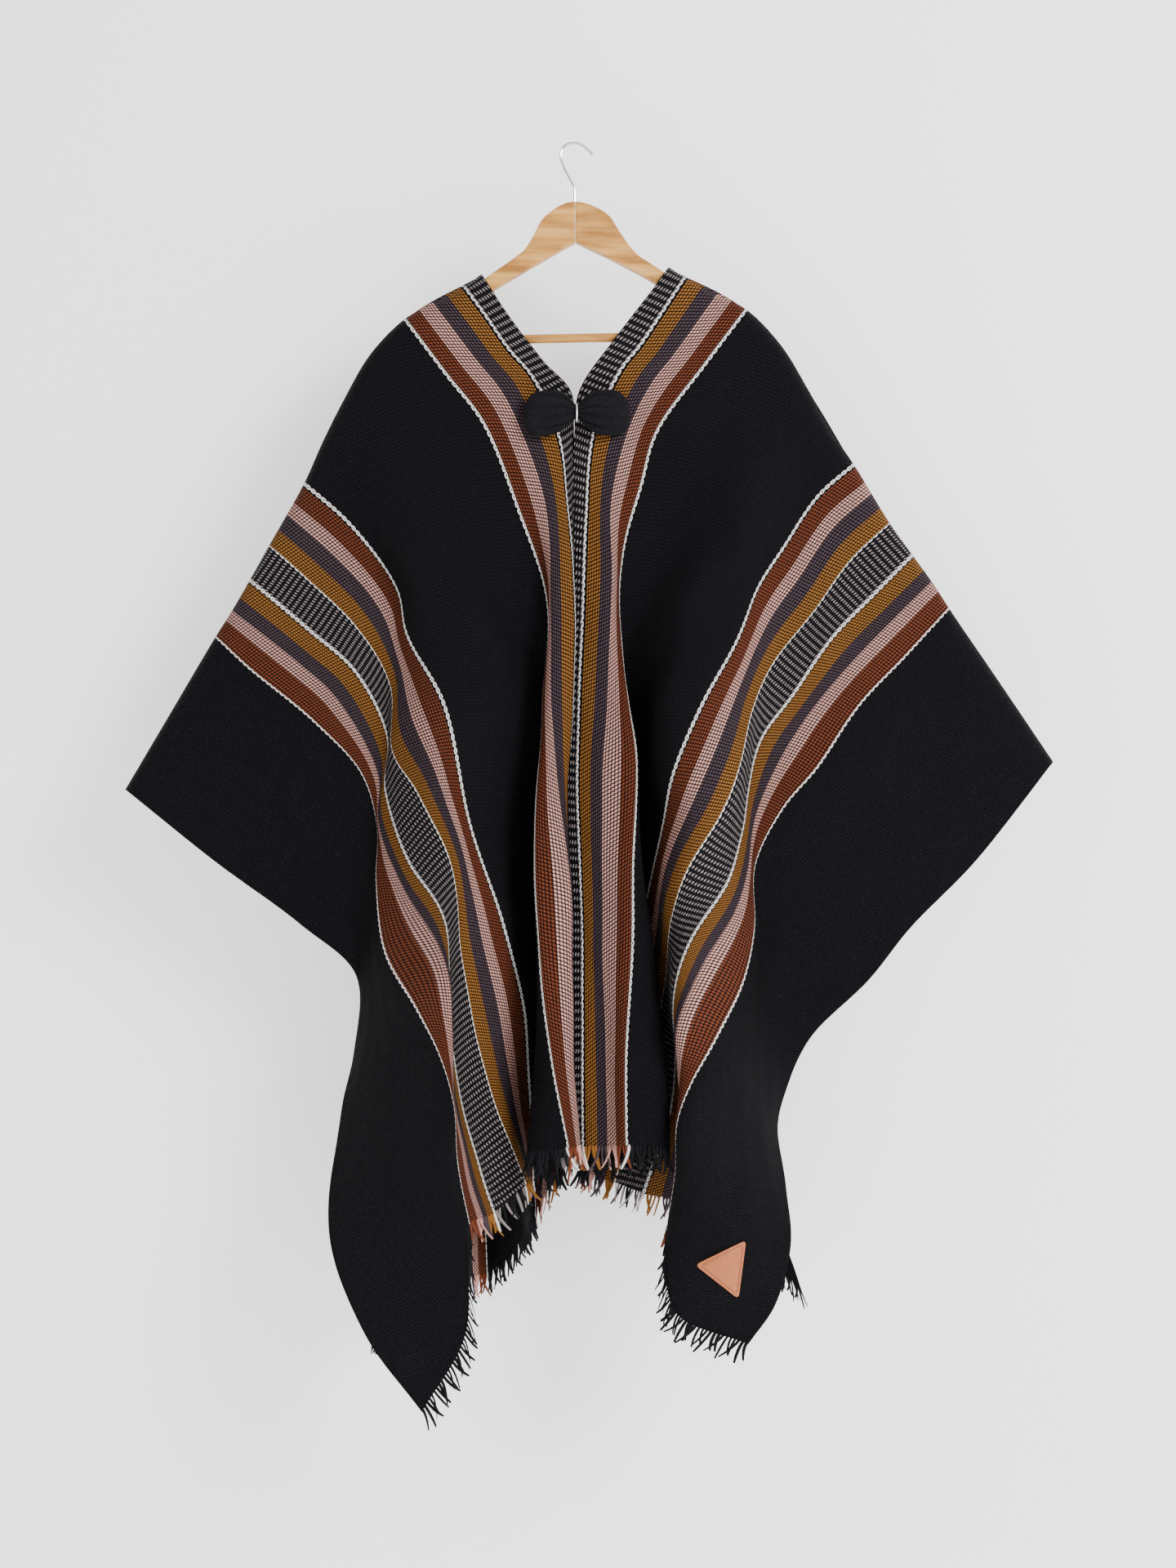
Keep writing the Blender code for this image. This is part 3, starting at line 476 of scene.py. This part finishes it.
def make_panel(name, rows, places, columns, material):
    """Cloth of one panel, with its thickness."""
    points = [point for row in rows for point in row]
    spots = [(column, place) for place in places for column in columns]
    panel = mesh_object(name, points, grid_faces(len(rows), len(columns)), spots)
    panel.data.materials.append(material)
    wall = panel.modifiers.new("wall", "SOLIDIFY")
    wall.thickness = WALL * MM
    wall.offset = 0.0
    return panel


def make_fringe(name, rows, columns, material, tassel=(0, 0)):
    """Strands of yarn out of one hem, longer in the tassel. The first row is the hem."""
    points, faces, spots = [], [], []
    ends, inner = rows[0], rows[1]
    for index in range(len(ends) - 1):
        place = (columns[index] + columns[index + 1]) / 2
        root = (ends[index] + ends[index + 1]) / 2
        outward = (ends[index] - inner[index]).normalized()
        along = (ends[index + 1] - ends[index]).normalized()
        normal = along.cross(outward).normalized()
        length = (STRAND_LENGTH + STRAND_EXTRA * math.sin(index * 2.3) ** 2) * MM
        if tassel[0] < place < tassel[1]:
            length = TASSEL_LENGTH * MM
        turn = math.sin(index * 1.7) * 0.42
        lean = math.cos(index * 2.9) * 0.30
        thick = (1.85 + 0.35 * math.sin(index * 0.9)) * MM
        base = len(points)
        for step in range(STRAND_STEPS):
            share = step / (STRAND_STEPS - 1)
            centre = (root + outward * (length * share - 1.5 * MM)
                      + (along * turn + normal * lean) * length * share ** 2
                      + Vector((0, 0, -1)) * 4 * MM * share ** 2)
            size = thick * (1 - 0.35 * share ** 4)
            points += [centre + along * size, centre + normal * size,
                       centre - along * size, centre - normal * size]
            spots += [(place, step)] * 4
        faces += strand_faces(base, STRAND_STEPS)
    fringe = mesh_object(name, points, faces, spots)
    fringe.data.materials.append(material)
    return fringe


class Graph:
    """Short way to write a node tree."""

    def __init__(self, name):
        self.material = bpy.data.materials.new(name)
        self.material.use_nodes = True
        self.nodes = self.material.node_tree.nodes
        self.links = self.material.node_tree.links
        self.shader = self.nodes["Principled BSDF"]

    def node(self, kind, **settings):
        """New node with some of its settings."""
        node = self.nodes.new(kind)
        for key, value in settings.items():
            setattr(node, key, value)
        return node

    def put(self, socket, value):
        """Link a socket, or give it a constant."""
        if isinstance(value, bpy.types.NodeSocket):
            self.links.new(value, socket)
        else:
            socket.default_value = value

    def math(self, operation, first, second=0.0, clamp=False):
        """One sum of two values."""
        node = self.node("ShaderNodeMath", operation=operation, use_clamp=clamp)
        self.put(node.inputs[0], first)
        self.put(node.inputs[1], second)
        return node.outputs[0]

    def mix(self, factor, first, second):
        """Blend of two colours."""
        node = self.node("ShaderNodeMix", data_type="RGBA")
        self.put(node.inputs[0], factor)
        self.put(node.inputs[6], first)
        self.put(node.inputs[7], second)
        return node.outputs[2]

    def ramp(self, factor, stops, constant=False):
        """Colour ramp over a value."""
        node = self.node("ShaderNodeValToRGB")
        self.put(node.inputs[0], factor)
        elements = node.color_ramp.elements
        node.color_ramp.interpolation = "CONSTANT" if constant else "LINEAR"
        while len(elements) < len(stops):
            elements.new(1.0)
        for element, (place, colour) in zip(elements, stops):
            element.position = place
            element.color = (*colour, 1.0)
        return node.outputs[0]

    def noise(self, vector, scale, detail=2.0):
        """Noise between 0 and 1."""
        node = self.node("ShaderNodeTexNoise")
        self.put(node.inputs["Vector"], vector)
        node.inputs["Scale"].default_value = scale
        node.inputs["Detail"].default_value = detail
        return node.outputs["Fac"]

    def bump(self, height, strength, distance):
        """Relief on the shader."""
        node = self.node("ShaderNodeBump")
        node.inputs["Strength"].default_value = strength
        node.inputs["Distance"].default_value = distance
        self.put(node.inputs["Height"], height)
        self.links.new(node.outputs[0], self.shader.inputs["Normal"])

    def toned(self, colour, value):
        """Base colour made lighter or darker by a value."""
        tone = self.node("ShaderNodeHueSaturation")
        self.links.new(colour, tone.inputs["Color"])
        self.put(tone.inputs["Value"], value)
        self.links.new(tone.outputs[0], self.shader.inputs["Base Color"])

    def middle(self, value, pitch, shift=0.0):
        """Distance from the middle of the cell, from -0.5 to 0.5."""
        cells = self.math("ADD", self.math("DIVIDE", value, pitch), shift)
        return self.math("SUBTRACT", self.math("FRACT", cells), 0.5)


def band_ramps(graph, across):
    """Yarn colour and kind of band at a distance from the inner edge."""
    share = graph.math("DIVIDE", across, float(PANEL_WIDTH))
    kinds = {"white": (1.0, 0.0, 0.0), "field": (0.0, 0.0, 0.0), "dotted": (0.0, 0.0, 1.0)}
    colour = graph.ramp(share, [(start / PANEL_WIDTH, YARNS[name])
                                for start, name, _ in BANDS], constant=True)
    kind = graph.ramp(share, [(start / PANEL_WIDTH, kinds[name])
                              for start, _, name in BANDS], constant=True)
    split = graph.node("ShaderNodeSeparateColor")
    graph.links.new(kind, split.inputs[0])
    return colour, split.outputs[0], split.outputs[2]


def cloth_place(graph):
    """Distance from the inner edge and along the warp, in millimetres."""
    spot = graph.node("ShaderNodeUVMap", uv_map="cloth")
    split = graph.node("ShaderNodeSeparateXYZ")
    graph.links.new(spot.outputs[0], split.inputs[0])
    return split.outputs[0], split.outputs[1]


def float_relief(graph, across, along):
    """Rounded height of the floats in the striped field, each column a little further along."""
    shift = graph.math("MULTIPLY", graph.math(
        "FLOOR", graph.math("DIVIDE", across, FLOAT_PITCH)), FLOAT_SHIFT)
    end_middle = graph.middle(along, FLOAT_LENGTH, shift)
    lean = graph.math("MULTIPLY", end_middle, FLOAT_SLANT)
    side = graph.math("ABSOLUTE", graph.math("ADD", graph.middle(across, FLOAT_PITCH), lean))
    end = graph.math("ABSOLUTE", end_middle)
    round_side = graph.math("SUBTRACT", 1.0, graph.math(
        "POWER", graph.math("MULTIPLY", side, 2.0), 2.2))
    round_end = graph.math("SUBTRACT", 1.0, graph.math(
        "POWER", graph.math("MULTIPLY", end, 2.0), 2.4))
    return graph.math("MAXIMUM", graph.math("MULTIPLY", round_side, round_end), 0.0)


def link_share(graph, across, along):
    """Share of white yarn in the chains: links with notched ends and a small hole."""
    reach = graph.math("ABSOLUTE", graph.math("SUBTRACT", across, WHITE_LINES[0]))
    for line in WHITE_LINES[1:]:
        other = graph.math("ABSOLUTE", graph.math("SUBTRACT", across, line))
        reach = graph.math("MINIMUM", reach, other)
    link_end = graph.math("ABSOLUTE", graph.middle(along, LINK_LENGTH))
    notch = graph.math("MULTIPLY", graph.math(
        "POWER", graph.math("MULTIPLY", link_end, 2.0), 3.0), 2.1)
    half = graph.math("SUBTRACT", LINK_HALF, notch)
    body = graph.math("MULTIPLY", graph.math("SUBTRACT", half, reach), 2.5, clamp=True)
    hole_across = graph.math("POWER", graph.math("DIVIDE", reach, 0.75), 2.0)
    hole_along = graph.math("POWER", graph.math("DIVIDE", link_end, 0.2), 2.0)
    hole = graph.math("MULTIPLY", graph.math("SUBTRACT", 1.0, graph.math(
        "ADD", hole_across, hole_along)), 2.0, clamp=True)
    return graph.math("MULTIPLY", body, graph.math("SUBTRACT", 1.0, hole))


def dash_share(graph, across, along):
    """Share of pale yarn in the dotted bands: slanted dashes in rows across the band."""
    dash_middle = graph.middle(along, LINK_LENGTH, graph.math("MULTIPLY", across, 0.012))
    dash_lean = graph.math("MULTIPLY", dash_middle, DASH_SLANT)
    dash_side = graph.math("DIVIDE", graph.math(
        "ADD", graph.middle(across, DASH_PITCH), dash_lean), 0.29)
    dash_end = graph.math("DIVIDE", dash_middle, 0.285)
    return graph.math("MULTIPLY", graph.math("SUBTRACT", 1.0, graph.math(
        "ADD", graph.math("MULTIPLY", dash_side, dash_side),
        graph.math("POWER", graph.math("ABSOLUTE", dash_end), 3.0))), 2.2, clamp=True)


def wool_material(name):
    """Woven cloth: floats in stripes, chains of white links and bands of dashes, with shade
    painted near-black into the gaps between floats and links.
    """
    graph = Graph(name)
    across, along = cloth_place(graph)
    place = graph.node("ShaderNodeTexCoord").outputs["Object"]
    fuzz = graph.noise(place, 700.0)
    waver = graph.math("MULTIPLY", graph.math("SUBTRACT", graph.noise(place, 60.0), 0.5), 0.9)
    along = graph.math("ADD", along, waver)
    colour, is_white, is_dotted = band_ramps(graph, across)

    floats = float_relief(graph, across, along)
    # Painted shade: where a float sinks, its yarn colour gives way to the near-black gap colour,
    # and so do the gaps and holes of the white links.
    unshaded_share = graph.math("MULTIPLY", graph.math("SUBTRACT", floats, 0.18), 1.6, clamp=True)
    field = graph.mix(unshaded_share, (*YARNS["shaded_gap"], 1.0), colour)
    link = link_share(graph, across, along)
    white = graph.mix(link, (*YARNS["shaded_gap"], 1.0), (*YARNS["white"], 1.0))
    dash = dash_share(graph, across, along)
    dotted = graph.mix(dash, (*YARNS["black"], 1.0), (*YARNS["dash"], 1.0))

    shown = graph.mix(is_white, field, white)
    shown = graph.mix(is_dotted, shown, dotted)
    graph.toned(shown, graph.math("ADD", graph.math("MULTIPLY", fuzz, 0.7), 0.65))

    height = graph.math("ADD", floats, graph.math("MULTIPLY", fuzz, 0.3))
    taller = graph.math("MULTIPLY", link, graph.math("MULTIPLY", is_white, 1.5))
    height = graph.math("ADD", height, taller)
    height = graph.math("ADD", height, graph.math("MULTIPLY", dash, is_dotted))
    graph.bump(height, 0.9, 0.0016)
    graph.shader.inputs["Roughness"].default_value = 0.9
    graph.shader.inputs["Specular IOR Level"].default_value = 0.1
    return graph.material


def yarn_material(name):
    """Loose strands in the colour of the band that they leave."""
    graph = Graph(name)
    across, _ = cloth_place(graph)
    colour, _, is_dotted = band_ramps(graph, across)
    pale = graph.math("GREATER_THAN", graph.middle(across, 2 * DASH_PITCH), 0.0)
    colour = graph.mix(graph.math("MULTIPLY", is_dotted, pale), colour, (*YARNS["dash"], 1.0))
    place = graph.node("ShaderNodeTexCoord").outputs["Object"]
    fuzz = graph.noise(place, 900.0)
    graph.toned(colour, graph.math("ADD", graph.math("MULTIPLY", fuzz, 0.6), 0.6))
    graph.bump(fuzz, 0.6, 0.0008)
    graph.shader.inputs["Roughness"].default_value = 0.95
    graph.shader.inputs["Specular IOR Level"].default_value = 0.2
    return graph.material


def bow_material(name):
    """Black cloth of the bow, with a fine weave."""
    graph = Graph(name)
    place = graph.node("ShaderNodeTexCoord").outputs["Object"]
    split = graph.node("ShaderNodeSeparateXYZ")
    graph.links.new(place, split.inputs[0])
    rib = graph.math("SINE", graph.math("MULTIPLY", graph.math(
        "ADD", split.outputs[0], split.outputs[2]), 2000.0))
    cross = graph.math("SINE", graph.math("MULTIPLY", graph.math(
        "SUBTRACT", split.outputs[0], split.outputs[2]), 1400.0))
    height = graph.math("ADD", graph.math("MULTIPLY", rib, cross), graph.noise(place, 500.0))
    colour = graph.ramp(graph.noise(place, 300.0), [(0.2, (0.0035, 0.0033, 0.0045)),
                                                     (0.8, (0.0085, 0.0078, 0.0105))])
    graph.links.new(colour, graph.shader.inputs["Base Color"])
    graph.bump(height, 0.6, 0.0010)
    graph.shader.inputs["Roughness"].default_value = 0.92
    graph.shader.inputs["Specular IOR Level"].default_value = 0.15
    return graph.material


def wood_material(name, turn):
    """Varnished pale wood, with its grain along the piece."""
    graph = Graph(name)
    place = graph.node("ShaderNodeTexCoord").outputs["Object"]
    mapping = graph.node("ShaderNodeMapping")
    graph.links.new(place, mapping.inputs["Vector"])
    mapping.inputs["Rotation"].default_value = (0, math.radians(turn), 0)
    mapping.inputs["Scale"].default_value = (5.0, 60.0, 48.0)
    grain = graph.noise(mapping.outputs[0], 2.2, 6.0)
    colour = graph.ramp(grain, [(0.36, (0.33, 0.132, 0.021)), (0.5, (0.55, 0.260, 0.052)),
                                (0.62, (0.68, 0.355, 0.092))])
    graph.links.new(colour, graph.shader.inputs["Base Color"])
    graph.bump(grain, 0.1, 0.0005)
    graph.shader.inputs["Roughness"].default_value = 0.38
    return graph.material


def plain_material(name, colour, roughness, metallic=0.0, relief=0.0):
    """Plain finish with a slight unevenness."""
    graph = Graph(name)
    place = graph.node("ShaderNodeTexCoord").outputs["Object"]
    grain = graph.noise(place, 400.0, 4.0)
    darker = tuple(part * 0.82 for part in colour)
    shown = graph.ramp(grain, [(0.3, darker), (0.7, colour)])
    graph.links.new(shown, graph.shader.inputs["Base Color"])
    if relief:
        graph.bump(grain, relief, 0.0006)
    graph.shader.inputs["Roughness"].default_value = roughness
    graph.shader.inputs["Metallic"].default_value = metallic
    return graph.material


def stage_material(name, colour):
    """Pale plain surface that can be seen through from behind."""
    graph = Graph(name)
    graph.shader.inputs["Base Color"].default_value = (*colour, 1.0)
    graph.shader.inputs["Roughness"].default_value = 0.9
    graph.shader.inputs["Specular IOR Level"].default_value = 0.1
    graph.shader.inputs["Emission Color"].default_value = (1.0, 1.0, 1.0, 1.0)
    graph.shader.inputs["Emission Strength"].default_value = 0.75
    clear = graph.node("ShaderNodeBsdfTransparent")
    blend = graph.node("ShaderNodeMixShader")
    facing = graph.node("ShaderNodeNewGeometry")
    graph.links.new(facing.outputs["Backfacing"], blend.inputs[0])
    graph.links.new(graph.shader.outputs[0], blend.inputs[1])
    graph.links.new(clear.outputs[0], blend.inputs[2])
    graph.links.new(blend.outputs[0], graph.nodes["Material Output"].inputs["Surface"])
    return graph.material


def make_lobe(name, side, material):
    """Puffed and gathered lobe of the bow."""
    around, reaches = 96, 40
    sections = Curve([Vector(section) for section in LOBE_SECTIONS])
    points = []
    for step in range(reaches):
        share = step / (reaches - 1) * (len(LOBE_SECTIONS) - 1)
        index = min(int(share), len(LOBE_SECTIONS) - 2)
        reach, high, deep = sections.at(index, share - index)
        gather = 0.46 * max(0.0, 1 - reach / 58)
        for turn in range(around):
            angle = 2 * math.pi * turn / around
            crease = math.cos(4.5 * angle + 0.5 * math.sin(2 * angle) + 0.4) ** 2
            pleat = 1 - gather * (1 - crease) ** 3
            pleat += 0.03 * math.sin(3 * angle + reach * 0.11 + side)
            droop = 0.0022 * reach ** 2 * (0.55 + 0.45 * math.sin(angle))
            points.append(seen_point(BOW_CENTRE[0] + side * reach,
                                     BOW_CENTRE[1] - 2 + droop + high * pleat * math.sin(angle),
                                     BOW_OUT + deep * pleat * math.cos(angle)))
    faces = grid_faces(reaches, around, closed=True)
    faces.append(tuple(reversed(range(around))))
    faces.append(tuple(range((reaches - 1) * around, reaches * around)))
    lobe = mesh_object(name, points, faces)
    lobe.data.materials.append(material)
    return lobe


def make_link(material):
    """Flat metal ring that holds the two lobes together at the knot."""
    around, thick = 40, 10
    points = []
    for step in range(around):
        angle = 2 * math.pi * step / around
        way = Vector((0, math.sin(angle), math.cos(angle)))
        for turn in range(thick):
            twist = 2 * math.pi * turn / thick
            grow = math.cos(twist)
            points.append(seen_point(BOW_CENTRE[0] + 1.2 * math.sin(twist),
                                     BOW_CENTRE[1] + (RING_HALF_HEIGHT + grow) * way.y,
                                     BOW_OUT + (RING_HALF_DEPTH + grow) * way.z))
    faces = grid_faces(around, thick, closed=True)
    last = (around - 1) * thick
    for turn in range(thick):
        after = (turn + 1) % thick
        faces.append((last + turn, last + after, after, turn))
    link = mesh_object("bow_ring", points, faces)
    link.data.materials.append(material)
    return link


def patch_outline():
    """Outline of the patch with round corners, as seen points."""
    corners = [Vector(corner) for corner in PATCH_CORNERS]
    outline = []
    for index, corner in enumerate(corners):
        back = (corners[index - 1] - corner).normalized()
        ahead = (corners[(index + 1) % 3] - corner).normalized()
        start = corner + back * PATCH_CORNER_REACH
        stop = corner + ahead * PATCH_CORNER_REACH
        for step in range(9):
            share = step / 8
            outline.append(start * (1 - share) ** 2 + corner * 2 * share * (1 - share)
                           + stop * share ** 2)
        following = corners[(index + 1) % 3] - ahead * PATCH_CORNER_REACH
        for step in range(1, 14):
            outline.append(stop.lerp(following, step / 14))
    return outline


def patch_middle():
    """Middle of the patch, as a seen point."""
    return sum((Vector(corner) for corner in PATCH_CORNERS), Vector((0, 0))) / 3


class Ground:
    """The cloth's front, for what lies on it."""

    def __init__(self, rows):
        count = len(rows[0])
        points = [point for row in rows for point in row]
        self.tree = BVHTree.FromPolygons(points, grid_faces(len(rows), count))

    def place(self, seen, lift):
        """Point on the line of sight that lies lift millimetres over the cloth."""
        aim = (seen_point(seen[0], seen[1], 0) - EYE).normalized()
        hit, normal, _, _ = self.tree.ray_cast(EYE, aim)
        return hit - aim * lift * MM / max(abs(normal.dot(aim)), 0.6)


def make_patch(ground, material):
    """Bare leather triangle with round corners and a groove for its seam."""
    outline = patch_outline()
    middle = patch_middle()
    points = []
    for scale, lift in PATCH_RINGS:
        points += [ground.place(middle.lerp(seen, scale), lift) for seen in outline]
    points.append(ground.place(middle, PATCH_HEIGHT))
    count = len(outline)
    faces = grid_faces(len(PATCH_RINGS), count, closed=True)
    last = (len(PATCH_RINGS) - 1) * count
    for step in range(count):
        faces.append((last + step, last + (step + 1) % count, len(points) - 1))
    faces.append(tuple(reversed(range(count))))
    patch = mesh_object("patch_leather", points, faces)
    patch.data.materials.append(material)
    return patch


def make_stitches(ground, material):
    """Short stitches in the patch's groove."""
    outline = patch_outline()
    middle = patch_middle()
    line = [ground.place(middle.lerp(seen, SEAM_SHARE), STITCH_HEIGHT) for seen in outline]
    line.append(line[0])
    lengths = [0.0]
    for first, second in zip(line, line[1:]):
        lengths.append(lengths[-1] + (second - first).length)
    count = round(lengths[-1] / (STITCH_PITCH * MM))
    points, faces = [], []
    segment = 0
    for step in range(count):
        wanted = lengths[-1] * (step + 0.5) / count
        while segment < len(line) - 2 and lengths[segment + 1] < wanted:
            segment += 1
        way = (line[segment + 1] - line[segment]).normalized()
        centre = line[segment] + way * (wanted - lengths[segment])
        side = way.cross(Vector((0, -1, 0))).normalized()
        out = side.cross(way).normalized()
        base = len(points)
        for reach, size in STITCH_SECTIONS:
            spot = centre + way * reach * MM
            points += [spot + side * size * MM, spot + out * size * MM,
                       spot - side * size * MM, spot - out * size * MM]
        faces += strand_faces(base, len(STITCH_SECTIONS))
    stitches = mesh_object("patch_stitches", points, faces)
    stitches.data.materials.append(material)
    return stitches


def dress_node(name, material):
    """Give a CAD node that stays in view its finish."""
    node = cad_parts[name]
    node.data.materials.clear()
    node.data.materials.append(material)


def make_arm(name, outline, material):
    """Wooden half of the hanger, with a smooth outline and rounded edges."""
    route = smooth_route([Vector((across, 0, -down)) * MM for across, down in outline],
                         [step / ARM_STEPS for step in range(ARM_STEPS + 1)])
    count = len(route)
    half = Vector((0, ARM_THICKNESS / 2, 0)) * MM
    points = [point - half for point in route] + [point + half for point in route]
    faces = [(step, (step + 1) % count, count + (step + 1) % count, count + step)
             for step in range(count)]
    faces.append(tuple(reversed(range(count))))
    faces.append(tuple(range(count, 2 * count)))
    arm = mesh_object(name, points, faces)
    shape = bmesh.new()
    shape.from_mesh(arm.data)
    bmesh.ops.recalc_face_normals(shape, faces=shape.faces)
    shape.to_mesh(arm.data)
    shape.free()
    arm.data.materials.append(material)
    edge = arm.modifiers.new("soft_edge", "BEVEL")
    edge.width = EDGE_ROUND * MM
    edge.segments = 4
    edge.limit_method = "ANGLE"
    edge.angle_limit = math.radians(60)
    edge.harden_normals = True
    return arm


def flat_stage(name, place, turn, material):
    """Square that belongs to the stage."""
    bpy.ops.mesh.primitive_plane_add(size=STAGE_SIZE, location=place, rotation=turn)
    plane = bpy.context.object
    plane.name = name
    plane.data.materials.append(material)


def area_light(name, place, target, size, power):
    """Soft square light that points at a place."""
    data = bpy.data.lights.new(name, "AREA")
    data.size = size
    data.energy = power
    light = bpy.data.objects.new(name, data)
    light.location = place
    aim = Vector(target) - Vector(place)
    light.rotation_euler = aim.to_track_quat("-Z", "Y").to_euler()
    bpy.context.scene.collection.objects.link(light)


def dress_cloth():
    """The two panels with their fringes. Returns the right panel's front."""
    wool = wool_material("wool_cloth")
    yarn = yarn_material("wool_yarn")
    for side, front, back in (("left", LEFT_FRONT, LEFT_BACK),
                              ("right", RIGHT_FRONT, RIGHT_BACK)):
        rows, places, columns = panel_rows(front, back)
        rows = roughened(rows, places, columns)
        panel = make_panel(side + "_cloth", rows, places, columns, wool)
        tassel = TASSEL if side == "left" else (0, 0)
        fringes = [make_fringe(side + "_front_yarns", rows, columns, yarn, tassel),
                   make_fringe(side + "_back_yarns", list(reversed(rows)), columns, yarn)]
        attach(panel, "root")
        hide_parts(side + "_panel")
        for fringe, node in zip(fringes, ("_front_fringe", "_back_fringe")):
            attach(fringe, "root")
            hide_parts(side + node)
        cut_area(front, back)
    return Ground(rows)


def dress_bow():
    """The bow's two lobes."""
    puffed = bow_material("bow_cloth")
    for side, name in ((-1, "left"), (1, "right")):
        lobe = make_lobe("bow_" + name + "_puff", side, puffed)
        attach(lobe, "root")
        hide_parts("bow_" + name + "_lobe")


def dress_patch(ground):
    """The leather patch with its stitches."""
    leather = plain_material("patch_leather", (0.43, 0.118, 0.030), 0.5, relief=0.25)
    patch = make_patch(ground, leather)
    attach(patch, "root")
    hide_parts("leather_patch")
    thread = plain_material("patch_thread", (0.24, 0.075, 0.025), 0.7)
    stitches = make_stitches(ground, thread)
    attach(stitches, "root")


def dress_hanger():
    """The hanger's smooth arms, its bar and its hook."""
    for side, outline, turn in (("left", LEFT_ARM, -30), ("right", RIGHT_ARM, 30)):
        arm = make_arm(side + "_wood_arm", outline, wood_material("wood_" + side, turn))
        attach(arm, "root")
        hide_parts("hanger_" + side + "_half")
    dress_node("trouser_bar", wood_material("wood_bar", 0))
    dress_node("hook", plain_material("hook_chrome", (0.78, 0.78, 0.80), 0.16, metallic=1.0))


def dress_ring():
    """The metal ring at the bow's knot."""
    link = make_link(plain_material("link_metal", (0.92, 0.92, 0.92), 0.38, metallic=1.0))
    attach(link, "root")
    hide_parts("bow_link")


def set_stage():
    """Wall, floor, sky and lights."""
    pale = stage_material("stage_pale", (0.94, 0.94, 0.94))
    flat_stage("stage_wall", WALL_PLACE, (math.radians(90), 0, 0), pale)
    flat_stage("stage_floor", FLOOR_PLACE, (0, 0, 0), pale)

    world = bpy.data.worlds.new("studio")
    world.use_nodes = True
    world.node_tree.nodes["Background"].inputs[0].default_value = (1.0, 1.0, 1.0, 1.0)
    world.node_tree.nodes["Background"].inputs[1].default_value = SKY_STRENGTH
    bpy.context.scene.world = world
    for light in LIGHTS:
        area_light(*light)


def set_view():
    """Camera of the photograph."""
    data = bpy.data.cameras.new("view")
    data.lens = LENS
    data.sensor_width = SENSOR_WIDTH
    data.dof.use_dof = False
    camera = bpy.data.objects.new("view", data)
    camera.location = EYE
    camera.rotation_euler = (math.radians(90), 0, 0)
    bpy.context.scene.collection.objects.link(camera)
    bpy.context.scene.camera = camera
    bpy.context.scene.render.resolution_x = 1440
    bpy.context.scene.render.resolution_y = 1920


def main():
    """Dress the frame, set the stage and take the picture's view."""
    ground = dress_cloth()
    dress_bow()
    dress_patch(ground)
    dress_hanger()
    dress_ring()
    set_stage()
    set_view()


main()
